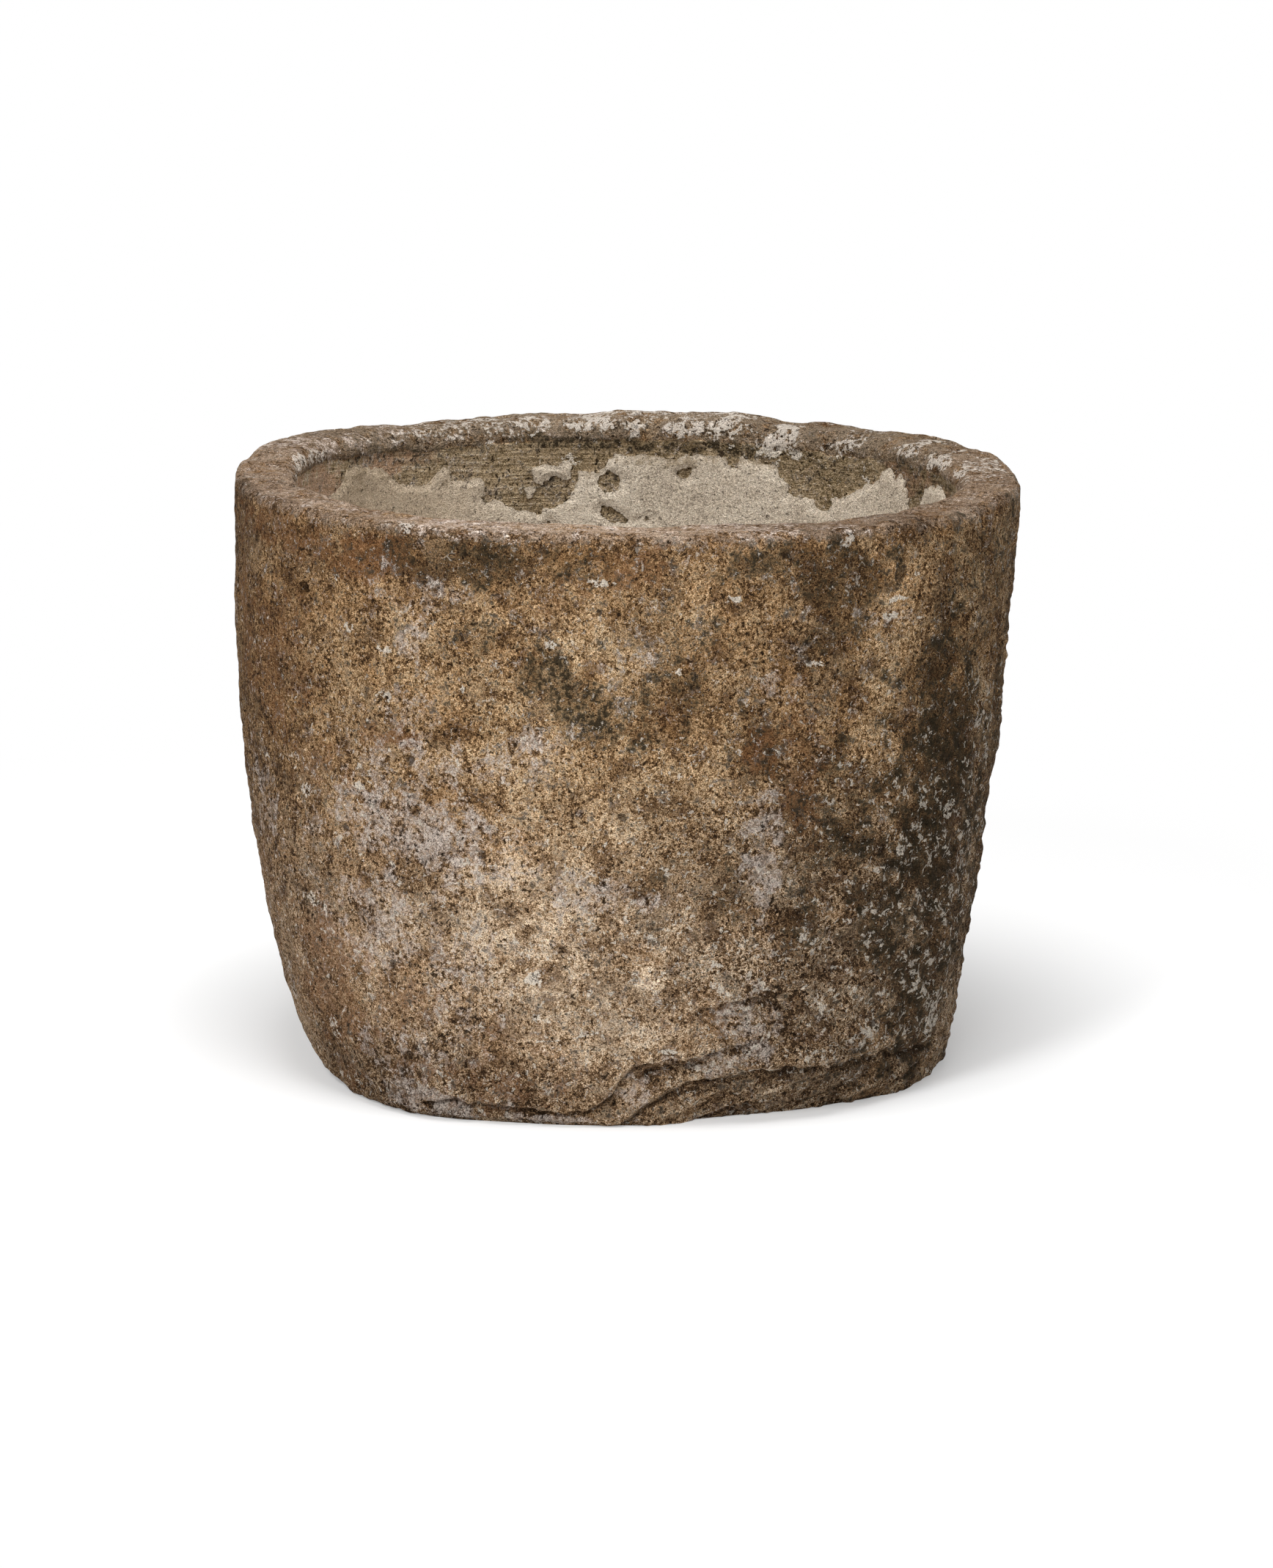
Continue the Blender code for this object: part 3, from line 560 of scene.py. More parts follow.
# Mesh from a grid that closes round the stone, with a middle point at each open end
def gridMesh(name, points, masks):
    rowCount, columnCount = points.shape[:2]
    index = np.arange(rowCount * columnCount).reshape(rowCount, columnCount)
    after = np.roll(index, -1, 1)
    faces = np.stack([index[:-1], after[:-1], after[1:], index[1:]], 2).reshape(-1, 4).tolist()
    verts = points.reshape(-1, 3).tolist()
    first, last = len(verts), len(verts) + 1
    verts += [points[0].mean(0).tolist(), points[-1].mean(0).tolist()]
    faces += [[first, b, a] for a, b in zip(index[0].tolist(), after[0].tolist())]
    faces += [[last, a, b] for a, b in zip(index[-1].tolist(), after[-1].tolist())]
    mesh = bpy.data.meshes.new(name)
    mesh.from_pydata(verts, [], faces)
    ends = {key: np.append(values.ravel(), [0.0, 0.0]) for key, values in masks.items()}
    addMasks(mesh, ends)
    mesh.shade_smooth()
    piece = bpy.data.objects.new(name, mesh)
    bpy.context.scene.collection.objects.link(piece)
    return piece


# Cuts the cracks into the depth. Gives the painted shadow below them and the painted highlight above them,
# the broken edges and the recess.
def cutCracks(depth, grid, level, face, swells, crumbs):
    wearAndShade = crackWearAndShade
    crackShadow, broken, recess = np.zeros(grid.shape), np.zeros(grid.shape), np.zeros(grid.shape)
    along, up = grid + 0.9 * swells + 0.8 * crumbs, level + 0.004 * swells + 0.003 * crumbs
    for name, (line, width, groove, step, dark) in cracks.items():
        near, above = lineDistance(line, along, up)
        ends = smooth((grid - line[0][0]) / 2.0 + 1) * smooth((line[-1][0] - grid) / 2.0 + 1)
        cut = np.exp(-((near / width) ** 2)) * ends * face
        below = smooth(-above / wearAndShade["bend"]) * ends * face
        depth -= groove * cut
        depth -= step * below * smooth(1 + above / wearAndShade["fade"]) * (near < wearAndShade["fade"])
        under = np.minimum(above, 0)
        # Painted shadow below each line, darkest right under it, and a painted highlight on the edge above
        crackShadow += dark * below * (np.exp(under / wearAndShade["nearShadow"]) + 0.2 * np.exp(under / wearAndShade["farShadow"]))
        crackShadow -= 0.35 * dark * (above > 0) * np.exp(-np.maximum(above, 0) / wearAndShade["litEdge"]) * ends * face
        broken = np.maximum(broken, cut * min(1.0, groove / wearAndShade["openGroove"]))
        if name == "undercut":
            recess = below
    return crackShadow, broken, recess


# The scratch, with ends that fade
def scratchMark(grid, level, face, swells):
    mark = np.exp(-((lineDistance(scratch, grid + 0.5 * swells, level)[0] / 0.0014) ** 2)) * face
    return mark * smooth((grid - scratch[0][0]) / 4) * smooth((scratch[-1][0] - grid) / 3)


# How far dents and pits sink each point
def sunkBy(spots, wearing, crumbs):
    flat = spots.reshape(-1, 3)
    tree = kdtree.KDTree(len(flat))
    for i, point in enumerate(flat.tolist()):
        tree.insert(point, i)
    tree.balance()
    ax, ay = survey["axis"]
    holes = []
    for a, z, radius, deep in dents:
        r = float(outerAt(np.array([a]), np.array([z]))[0])
        holes.append((Vector((ax + r * cos(radians(a)), ay + r * sin(radians(a)), z)), radius, deep))
    small, large = stone["pitSize"]
    for i in dice.choice(wearing, stone["pits"]):
        radius = small + (large - small) * dice.random() ** 2.5
        holes.append((Vector(flat[i]), radius, radius * (0.3 + 0.3 * dice.random())))
    sunk = np.zeros(len(flat))
    for centre, radius, deep in holes:
        for _, i, distance in tree.find_range(centre, radius * 1.3):
            share = distance / radius + 0.25 * crumbs.flat[i]
            sunk[i] = max(sunk[i], deep * float(smooth((1.15 - share) / 0.6)))
    return sunk.reshape(spots.shape[:2])


def buildStone():
    coarse = 1.0
    angle = columnsOf(coarse)
    rows = stoneProfile(angle, coarse)
    spots = turned(rows, angle)
    facing = facings(spots)
    grid = np.broadcast_to(angle[None], spots.shape[:2])
    grid = np.where(grid > 180, grid - 360, grid)
    level = spots[:, :, 2]
    print("Stone grid", spots.shape[0], "by", spots.shape[1])

    zone = np.array([row[0] for row in rows])

    def rowsOf(*names):
        return np.isin(zone, names)[:, None] & np.full(grid.shape, True)

    face, arris, lip = rowsOf("outer", "arris"), rowsOf("arris"), rowsOf("rim", "lip")
    inside, hidden = rowsOf("hollow"), rowsOf("deep", "under")

    lumps = roll(spots, 0.080, 2)
    swells = roll(spots, 0.030, 2, shift=3.0)
    crumbs = roll(spots, 0.011, 2, shift=7.0)
    rough = patchMask(outerRough, grid, level, lumps * 0.3)
    depth = stone["lumps"] * lumps + stone["swells"] * swells * (1.0 + 1.3 * rough)
    depth += stone["crumbs"] * crumbs * (1.0 + 0.9 * rough) * (1.0 - 0.5 * lip)

    # Slanting furrows of the point chisel, low on the right
    unrolled = radians(1) * stone["slantRadius"] * grid
    slant = np.stack([unrolled + level, (level - unrolled) * 0.28, level * 0], 2)
    ridges = roll(slant, 0.016, 2, shift=2.0) * rough * face
    depth += stone["furrows"] * ridges

    # Worn, lumpy edge of the back rim
    back = smooth(np.sin(np.radians(grid)) * 1.5)
    sides = np.cos(np.radians(grid)) ** 2
    edge = roll(spots, 0.034, 3, shift=11.0)
    depth += lip * (stone["rimWear"] * edge * (0.20 + back))
    wallDepth = stone["wallSwells"] * swells + stone["wallWear"] * edge - stone["wallSink"]
    depth = np.where(inside, wallDepth, depth)

    crackShadow, broken, recess = cutCracks(depth, grid, level, face, swells, crumbs)
    layers = np.stack([unrolled * 0.06, level - unrolled * 0.30, level * 0], 2)
    strata = roll(layers, 0.0062, 2, shift=51.0) * recess
    depth += stone["strata"] * strata
    sunk = sunkBy(spots, np.flatnonzero(face | lip), crumbs)
    depth = np.where(hidden, 0.0, depth - sunk)
    points = spots + facing * depth[:, :, None]
    low, high = (np.array(corner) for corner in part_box("stone_body"))
    points = np.clip(points, low, high)

    # Where each finish goes
    ragged = 0.9 * roll(spots, 0.040, 3, shift=21.0) + 0.7 * roll(spots, 0.012, 2, shift=23.0)

    def patches(where, table, fray=1.0):
        return np.where(where, patchMask(table, grid, level, ragged * fray), 0)

    def shades(table, fray):
        return broadMask(table, grid, level, ragged * fray)

    mark = scratchMark(grid, level, face, swells)
    # Painted light and shade on the face: the painted shadow under the cracks, raised furrows and layers
    # lighter and low ones darker, a little lighter in the recess, over the broad tones of outerShade
    faceShade = shades(outerShade, 0.6) - crackShadow + recess * 0.02 + ridges * 0.16 + strata * 0.30
    lipShade = 0.06 - 0.10 * back - 0.10 * sides + shades(rimShade, 0.5)
    band = smooth((level - rimAt(grid) + stone["bandDrop"]) / stone["bandSoft"])
    masks = {
        "bloom": patches(face, outerBloom) + patches(lip | arris, rimPale),
        "flecks": patches(face, outerFlecks, 0.8) + mark + patches(lip | inside, hollowCrust),
        "soot": patches(face, outerSoot) + patches(inside | lip, hollowStain),
        "rust": patches(face, outerRust) + patches(inside, hollowRust),
        "tan": patches(face, outerTan),
        "aged": np.where(lip | arris, back, 0.0),
        "rimBand": np.select([lip, face], [np.ones(grid.shape), band], 0.0),
        "bareWall": np.where(inside, 1.0, 0.0),
        "shade": np.select([face, lip, inside], [faceShade, lipShade, shades(hollowShade, 0.5)], 0.0),
        "chalk": np.where(face, patches(face, outerCrumbs) + ridges * 1.1, 0.0) * (1 - recess),
        # cavity: painted shade in the dents, pits and crack grooves
        "cavity": np.clip(sunk / 0.0025 + broken * 0.9 - 0.15 * crumbs, 0, 1),
        "rough": np.where(face, rough, 0.0),
    }
    return gridMesh("hewn_stone", points, masks)


# The lime render
render = {
    "thickness": 0.0038,
    "seat": 0.0004,  # gap between the coat and the measured wall
    "backOff": 0.0002,  # the back of the coat stands this much further off
    "fineStep": 0.0021,  # metres between points where the edge shows
    "coarseStep": 0.009,  # and further down
    "top": 0.586,  # first row, above the highest edge
    "fineEnd": 0.487,  # the fine rows end here
    "raggedEnd": 0.48,  # below this the coat is whole
    "wallEnd": 0.166,
    "sand": 0.00022,  # height of the sand grains
    "trowel": 0.0006,  # height of the trowel's waves
    "ragged": 0.0026,  # how far the broken edge strays
    "thinning": 0.008,  # width over which the coat thins out to its edge
    "rubbed": 0.006,  # width of the rubbed edge in the finish
}

# Upper edge of the render where it shows, left to right in the photograph, as angle and level
renderEdge = [
    (155.7, 0.561), (153.8, 0.569), (152.8, 0.580), (149.8, 0.582), (146.9, 0.577), (143.1, 0.573),
    (141.3, 0.565), (140.2, 0.559), (139.3, 0.554), (133.0, 0.549), (132.0, 0.555), (130.6, 0.562),
    (129.2, 0.566), (127.7, 0.564), (127.3, 0.552), (125.0, 0.550), (123.3, 0.550), (122.1, 0.552),
    (121.0, 0.552), (120.1, 0.549), (120.5, 0.534), (121.0, 0.528), (120.1, 0.523), (118.5, 0.526),
    (117.2, 0.5265), (115.7, 0.521), (114.2, 0.517), (114.0, 0.514), (111.9, 0.514), (109.9, 0.512),
    (108.7, 0.5095), (108.0, 0.515), (105.1, 0.518), (102.6, 0.5255), (101.5, 0.537), (100.7, 0.543),
    (100.5, 0.555), (98.8, 0.555), (97.0, 0.554), (96.2, 0.5515), (95.5, 0.556), (94.6, 0.560),
    (94.0, 0.567), (92.4, 0.573), (89.3, 0.571), (86.2, 0.5726), (83.0, 0.5700), (79.9, 0.567),
    (77.7, 0.573), (70.8, 0.573), (69.4, 0.572), (68.9, 0.564), (67.9, 0.560), (66.6, 0.5605),
    (66.2, 0.5725), (63.1, 0.5705), (60.2, 0.565), (58.4, 0.568), (57.9, 0.554), (57.4, 0.5506),
    (56.0, 0.549), (56.3, 0.535), (54.7, 0.5334), (52.8, 0.5326), (52.3, 0.535), (50.1, 0.532),
    (49.7, 0.524), (47.1, 0.5195), (45.9, 0.530), (46.2, 0.535), (43.2, 0.539), (40.5, 0.547),
    (38.0, 0.556), (36.1, 0.558), (35.1, 0.562), (34.4, 0.573), (31.6, 0.578), (30.4, 0.566), (29.2, 0.577),
    (27.4, 0.566), (26.0, 0.540), (23.0, 0.538), (20.5, 0.566), (17.0, 0.571), (13.8, 0.574), (9.0, 0.562),
    (3.0, 0.566), (-5.0, 0.548),
]

# The rest of the way round, out of sight in the photograph
renderEdgeHidden = [
    (-20, 0.562), (-25, 0.555), (-28, 0.539), (-36, 0.545), (-39, 0.561), (-46, 0.566), (-55, 0.557),
    (-57, 0.541), (-63, 0.532), (-69, 0.538), (-72, 0.553), (-80, 0.556), (-84, 0.569), (-92, 0.566),
    (-97, 0.550), (-104, 0.547), (-108, 0.560), (-117, 0.562), (-121, 0.545), (-129, 0.540), (-133, 0.556),
    (-141, 0.560), (-146, 0.546), (-153, 0.545), (-157, 0.561), (-164, 0.567), (-169, 0.553), (-176, 0.556),
    (-181, 0.566), (-187, 0.560), (-191, 0.549), (-197, 0.548),
]

renderHoles = [
    [(95.9, 0.5375), (96.3, 0.543), (96.0, 0.549), (94.9, 0.5525), (94.4, 0.556), (93.4, 0.5535),
     (92.3, 0.551), (91.5, 0.546), (91.6, 0.538), (92.8, 0.532), (94.6, 0.531)],
    [(96.3, 0.511), (95.4, 0.517), (93.8, 0.5175), (92.6, 0.513), (91.6, 0.508), (90.2, 0.504),
     (89.0, 0.501), (90.6, 0.4975), (93.2, 0.499), (95.0, 0.504)],
    [(79.6, 0.553), (78.4, 0.5585), (76.8, 0.560), (76.3, 0.554), (77.0, 0.547), (78.6, 0.5455)],
    [(107.4, 0.5005), (106.9, 0.5035), (106.4, 0.5005), (106.9, 0.498)],
    [(86.2, 0.503), (85.8, 0.5055), (85.3, 0.503), (85.8, 0.501)],
]

renderIslands = {
    "render_island_large": [
        (110.4, 0.558), (109.7, 0.5615), (108.4, 0.563), (106.4, 0.562), (105.0, 0.5605), (103.4, 0.566),
        (101.8, 0.5645), (102.2, 0.556), (101.9, 0.550), (103.0, 0.546), (104.6, 0.548), (105.9, 0.551),
        (107.2, 0.546), (108.4, 0.541), (109.4, 0.543), (109.9, 0.549),
    ],
    "render_island_small": [
        (111.6, 0.5375), (110.6, 0.539), (109.9, 0.5375), (110.0, 0.533), (110.5, 0.5275), (111.3, 0.527),
        (111.5, 0.532),
    ],
}

# Soiled places on the render
liningSoil = [
    (88.0, 0.570, 5.0, 0.008, 0.9), (80.0, 0.566, 7.0, 0.007, 0.8), (70.0, 0.570, 8.0, 0.006, 0.8),
    (60.0, 0.566, 5.0, 0.006, 0.7), (99.0, 0.553, 3.0, 0.007, 0.6), (150.0, 0.577, 7.0, 0.010, 0.8),
    (141.0, 0.567, 4.0, 0.008, 0.6), (131.0, 0.556, 5.0, 0.008, 0.6), (152.0, 0.560, 4.0, 0.016, 0.5),
    (34.0, 0.560, 5.0, 0.010, 0.4), (20.0, 0.560, 6.0, 0.010, 0.3), (84.0, 0.500, 6.0, 0.004, 0.4),
]


# Signed distance into an outline on the unrolled wall: positive inside
def insideOf(outline, angle, level):
    scale = radians(1.0) * survey["wallRadius"]
    spots = [(a * scale, z) for a, z in outline]
    closed = spots + spots[:1]
    u, v = angle * scale, level
    nearest = chainDistance(closed, u, v)
    within = np.zeros(angle.shape, bool)
    for (u0, v0), (u1, v1) in zip(closed, closed[1:]):
        if v0 != v1:
            within ^= ((v0 > v) != (v1 > v)) & (u < u0 + (v - v0) / (v1 - v0) * (u1 - u0))
    return np.where(within, nearest, -nearest)


# Coat of render over rows and columns of the wall, kept where the field is positive and closed behind
def coatMesh(name, angle, levelRows, radiusRows, field, closes, masks):
    # The coat thins out towards its broken edge
    radiusRows = radiusRows + masks["behind"] * 0.6 * (1.0 - smooth(field / render["thinning"]))
    step = render["fineStep"]
    wallRadius = survey["wallRadius"]
    # Corners near the edge of the field slide onto it, so that the edge runs clean
    rise = np.gradient(levelRows, axis=0)
    slopeV = np.gradient(field, axis=0) / np.where(np.abs(rise) > 1e-6, rise, 1e9)
    slopeU = np.gradient(field, axis=1) / (np.gradient(angle, axis=1) * (radians(1.0) * wallRadius))
    steep = np.maximum(slopeU**2 + slopeV**2, 0.25)
    near = np.abs(field) < step * 0.75
    shiftU = np.where(near, -field * slopeU / steep, 0)
    shiftV = np.where(near, -field * slopeV / steep, 0)
    limit = step * 0.6
    turn = np.radians(angle) + np.clip(shiftU, -limit, limit) / wallRadius
    level = levelRows + np.clip(shiftV, -limit, limit)
    kept = field > -step * 0.75
    rowCount, columnCount = field.shape
    index = np.arange(rowCount * columnCount).reshape(rowCount, columnCount)
    after = np.roll(index, -1, 1)
    quads = np.stack([index[:-1], index[1:], after[1:], after[:-1]], 2)
    if not closes:
        quads = quads[:, :-1]
    quads = quads.reshape(-1, 4)
    quads = quads[kept.ravel()[quads].all(1) & (field.ravel()[quads].mean(1) > 0)]
    used = np.unique(quads)
    count = len(used)
    renumber = np.full(rowCount * columnCount, -1)
    renumber[used] = np.arange(count)
    quads = renumber[quads]
    coats = [aroundAxis(radius, turn, level).reshape(-1, 3)[used] for radius in (radiusRows, masks["back"])]
    coats[1][:, 2] -= masks["below"].ravel()[used]
    faces = quads.tolist() + (quads[:, ::-1] + count).tolist()
    # Edges that only one quad uses are the rim of the coat
    edges = dict.fromkeys(zip(quads.ravel().tolist(), np.roll(quads, -1, 1).ravel().tolist()))
    faces += [[b, a, a + count, b + count] for a, b in edges if (b, a) not in edges]
    mesh = bpy.data.meshes.new(name)
    mesh.from_pydata(np.concatenate(coats).tolist(), [], faces)
    inward = np.clip(field.ravel()[used] / render["rubbed"], 0, 1)
    addMasks(mesh, {"inward": np.tile(inward, 2), "soil": np.tile(masks["soil"].ravel()[used], 2)})
    mesh.shade_smooth()
    mesh.set_sharp_from_angle(angle=radians(50))
    piece = bpy.data.objects.new(name, mesh)
    bpy.context.scene.collection.objects.link(piece)
    return piece


def coatRelief(angle, level, radius):
    spots = aroundAxis(radius, np.radians(angle), level)
    relief = render["trowel"] * roll(spots, 0.055, 2, shift=31.0)
    return spots, relief + render["sand"] * roll(spots, 0.0045, 2, shift=33.0)


def buildLining():
    coarse = 1.0
    fine = render["fineStep"] * coarse
    seen = np.arange(2.0, 168.0, np.degrees(fine / survey["wallRadius"]))
    rest = np.arange(168.0, 362.0, np.degrees(fine * 2 / survey["wallRadius"]))
    columns = np.concatenate([seen, rest])
    upper = np.arange(render["top"], render["fineEnd"], -fine)
    lower = np.arange(upper[-1] - 0.004, render["wallEnd"], -render["coarseStep"] * coarse)
    levels = np.concatenate([upper, lower])
    inset = render["thickness"] + render["seat"]
    angle = np.broadcast_to(columns[None], (len(levels), len(columns)))
    level = np.broadcast_to(levels[:, None], angle.shape)
    radius = hollowAt(angle, level) - inset
    # Down over the rounded corner and across the floor
    start, bend = hollowCorner["level"], hollowCorner["radius"]
    corner = hollowAt(columns, start)
    extraRadius, extraLevel = [], []
    for turn in np.linspace(0, pi / 2, 12)[1:]:
        extraRadius.append(corner - bend + (bend - inset) * cos(turn))
        extraLevel.append(start - (bend - inset) * sin(turn) + 0 * columns)
    for share in np.linspace(1, 0.02, 26)[1:]:
        extraRadius.append((corner - bend) * share)
        extraLevel.append(start - bend + inset + 0 * columns)
    radius = np.concatenate([radius, np.array(extraRadius)])
    level = np.concatenate([level, np.array(extraLevel)])
    angle = np.broadcast_to(columns[None], radius.shape)
    spots, relief = coatRelief(angle, level, radius)

    line = renderEdge + renderEdgeHidden
    line = [(a + 360, z) for a, z in line] + line
    outline = [(a, z) for a, z in line if -60 < a < 430]
    outline += [(outline[-1][0], -1.0), (outline[0][0], -1.0)]
    field = insideOf(outline, angle, level)
    for hole in renderHoles:
        field = np.minimum(field, -insideOf(hole, angle, level))
    tatter = roll(spots, 0.0065, 3, shift=41.0)
    field = np.where(level > render["raggedEnd"], field + render["ragged"] * tatter, 1.0)
    wallPart = level > render["wallEnd"]
    radius = radius - relief * wallPart
    body = render["thickness"] - render["backOff"]
    masks = {
        "behind": np.where(wallPart, body, 0.0),
        "below": np.where(wallPart, 0.0, body),
        "back": np.where(wallPart, hollowAt(angle, level) - render["seat"] - render["backOff"], radius),
        "soil": patchMask(liningSoil, angle, level, tatter * 0.9),
    }
    return coatMesh("lime_lining", angle, level, radius, field, True, masks)


def buildIsland(name, outline):
    fine = render["fineStep"] * 0.6
    angles = [a for a, z in outline]
    levels = [z for a, z in outline]
    columns = np.arange(min(angles) - 1.0, max(angles) + 1.0, np.degrees(fine / survey["wallRadius"]))
    heights = np.arange(max(levels) + 0.004, min(levels) - 0.004, -fine)
    angle = np.broadcast_to(columns[None], (len(heights), len(columns)))
    level = np.broadcast_to(heights[:, None], angle.shape)
    radius = hollowAt(angle, level) - render["thickness"] - render["seat"]
    spots, relief = coatRelief(angle, level, radius)
    field = insideOf(outline, angle, level) + 0.8 * render["ragged"] * roll(spots, 0.006, 3, shift=41.0)
    masks = {
        "behind": np.full(field.shape, render["thickness"] - render["backOff"]),
        "below": np.zeros(field.shape),
        "back": hollowAt(angle, level) - render["seat"] - render["backOff"],
        "soil": np.zeros(field.shape),
    }
    return coatMesh(name, angle, level, radius - relief, field, False, masks)


# Finishes

# A wire carries one socket of a material and takes part in sums
class Wire:
    def __init__(self, tree, socket=None):
        self.tree = tree
        self.socket = socket

    # Any node: its type, its settings, then values or wires for its sockets
    def node(self, kind, settings=None, sockets=None, out=0):
        made = self.tree.nodes.new(kind)
        for key, value in (settings or {}).items():
            if key == "stops":
                ramp = made.color_ramp.elements
                while len(ramp) < len(value):
                    ramp.new(0.5)
                for element, (position, colour) in zip(ramp, value):
                    element.position = position
                    element.color = (*colour, 1.0)
            else:
                setattr(made, key, value)
        for key, value in (sockets or {}).items():
            target = made.inputs[key]
            if isinstance(value, Wire):
                self.tree.links.new(value.socket, target)
            elif isinstance(value, tuple) and len(value) == 3 and target.type == "RGBA":
                target.default_value = (*value, 1.0)
            else:
                target.default_value = value
        return Wire(self.tree, made.outputs[out]) if made.outputs else None

    def sum(self, operation, first, second):
        return self.node("ShaderNodeMath", {"operation": operation}, {0: first, 1: second})

    def __add__(self, other):
        return self.sum("ADD", self, other)

    __radd__ = __add__

    def __sub__(self, other):
        return self.sum("SUBTRACT", self, other)

    def __rsub__(self, other):
        return self.sum("SUBTRACT", other, self)

    def __mul__(self, other):
        return self.sum("MULTIPLY", self, other)

    __rmul__ = __mul__

    # 0 below low, 1 above high, with soft ends
    def between(self, low, high):
        settings = {"interpolation_type": "SMOOTHSTEP"}
        return self.node("ShaderNodeMapRange", settings, {"Value": self, "From Min": low, "From Max": high})

    def size(self):
        return self.node("ShaderNodeMath", {"operation": "ABSOLUTE"}, {0: self})

    def within(self, low, high):
        return self.node("ShaderNodeClamp", {}, {0: self, 1: low, 2: high})

    def most(self, other):
        return self.sum("MAXIMUM", self, other)

    # A colour made lighter or darker by a factor
    def scaled(self, factor):
        return self.node("ShaderNodeVectorMath", {"operation": "SCALE"}, {0: self, "Scale": factor})

    # A colour that goes over to another by a share
    def mixed(self, colour, share, blend="MIX"):
        settings = {"data_type": "RGBA", "blend_type": blend}
        return self.node("ShaderNodeMix", settings, {0: share, 6: self, 7: colour}, out=2)


def newFinish(name):
    material = bpy.data.materials.new(name)
    material.use_nodes = True
    tree = material.node_tree
    tree.nodes.clear()
    return material, Wire(tree)


def finishOff(board, colour, roughness, height, depth):
    bump = board.node("ShaderNodeBump", {}, {"Strength": 1.0, "Distance": depth, "Height": height})
    shader = board.node("ShaderNodeBsdfPrincipled", {}, {
        "Base Color": colour, "Roughness": roughness, "Specular IOR Level": 0.05, "Normal": bump,
    })
    board.node("ShaderNodeOutputMaterial", {}, {"Surface": shader})


# Cloudy noise round zero, with grains of about this size in metres
def cloud(board, spot, size, detail=4.0, rough=0.65, distortion=0.0):
    made = board.node("ShaderNodeTexNoise", {}, {
        "Vector": spot, "Scale": 1.0 / size, "Detail": detail, "Roughness": rough, "Distortion": distortion,
    })
    return (made - 0.5) * 8.0


stoneFinish = {
    "tones": [
        (0.00, (0.062, 0.036, 0.019)), (0.25, (0.148, 0.087, 0.046)), (0.50, (0.318, 0.205, 0.116)),
        (0.75, (0.556, 0.412, 0.276)), (1.00, (0.800, 0.668, 0.525)),
    ],
    "bareTones": [
        (0.00, (0.062, 0.045, 0.023)), (0.40, (0.270, 0.193, 0.107)), (0.75, (0.480, 0.365, 0.230)),
        (1.00, (0.700, 0.590, 0.450)),
    ],
    "rimTones": [
        (0.00, (0.058, 0.038, 0.024)), (0.45, (0.198, 0.138, 0.096)), (1.00, (0.520, 0.415, 0.325)),
    ],
    "brown": (0.130, 0.072, 0.037),
    "ochre": (0.420, 0.240, 0.115),
    "ash": (0.350, 0.262, 0.182),
    "rust": (0.225, 0.112, 0.055),
    "bloom": (0.600, 0.480, 0.400),
    "soot": (0.023, 0.018, 0.010),
    "skin": (0.098, 0.063, 0.031),
    "crust": (0.720, 0.640, 0.540),
    # painted shade for the pits and cracks, and for the dents and grooves of the cavity mask
    "pit": (0.022, 0.013, 0.007),
    "hollowPit": (0.038, 0.022, 0.012),
    "grading": (1.01, 0.99, 0.955),  # over the whole face
    "upperGrading": (1.03, 0.965, 0.83),  # and once more high up
    "bareRust": (0.390, 0.228, 0.138),
    "agedRim": (0.150, 0.124, 0.086),
    "dimness": (0.098, 0.068, 0.036),  # thin lichen round the soot
    "dust": (0.600, 0.515, 0.450),
    "rimCrust": (0.620, 0.550, 0.475),
}


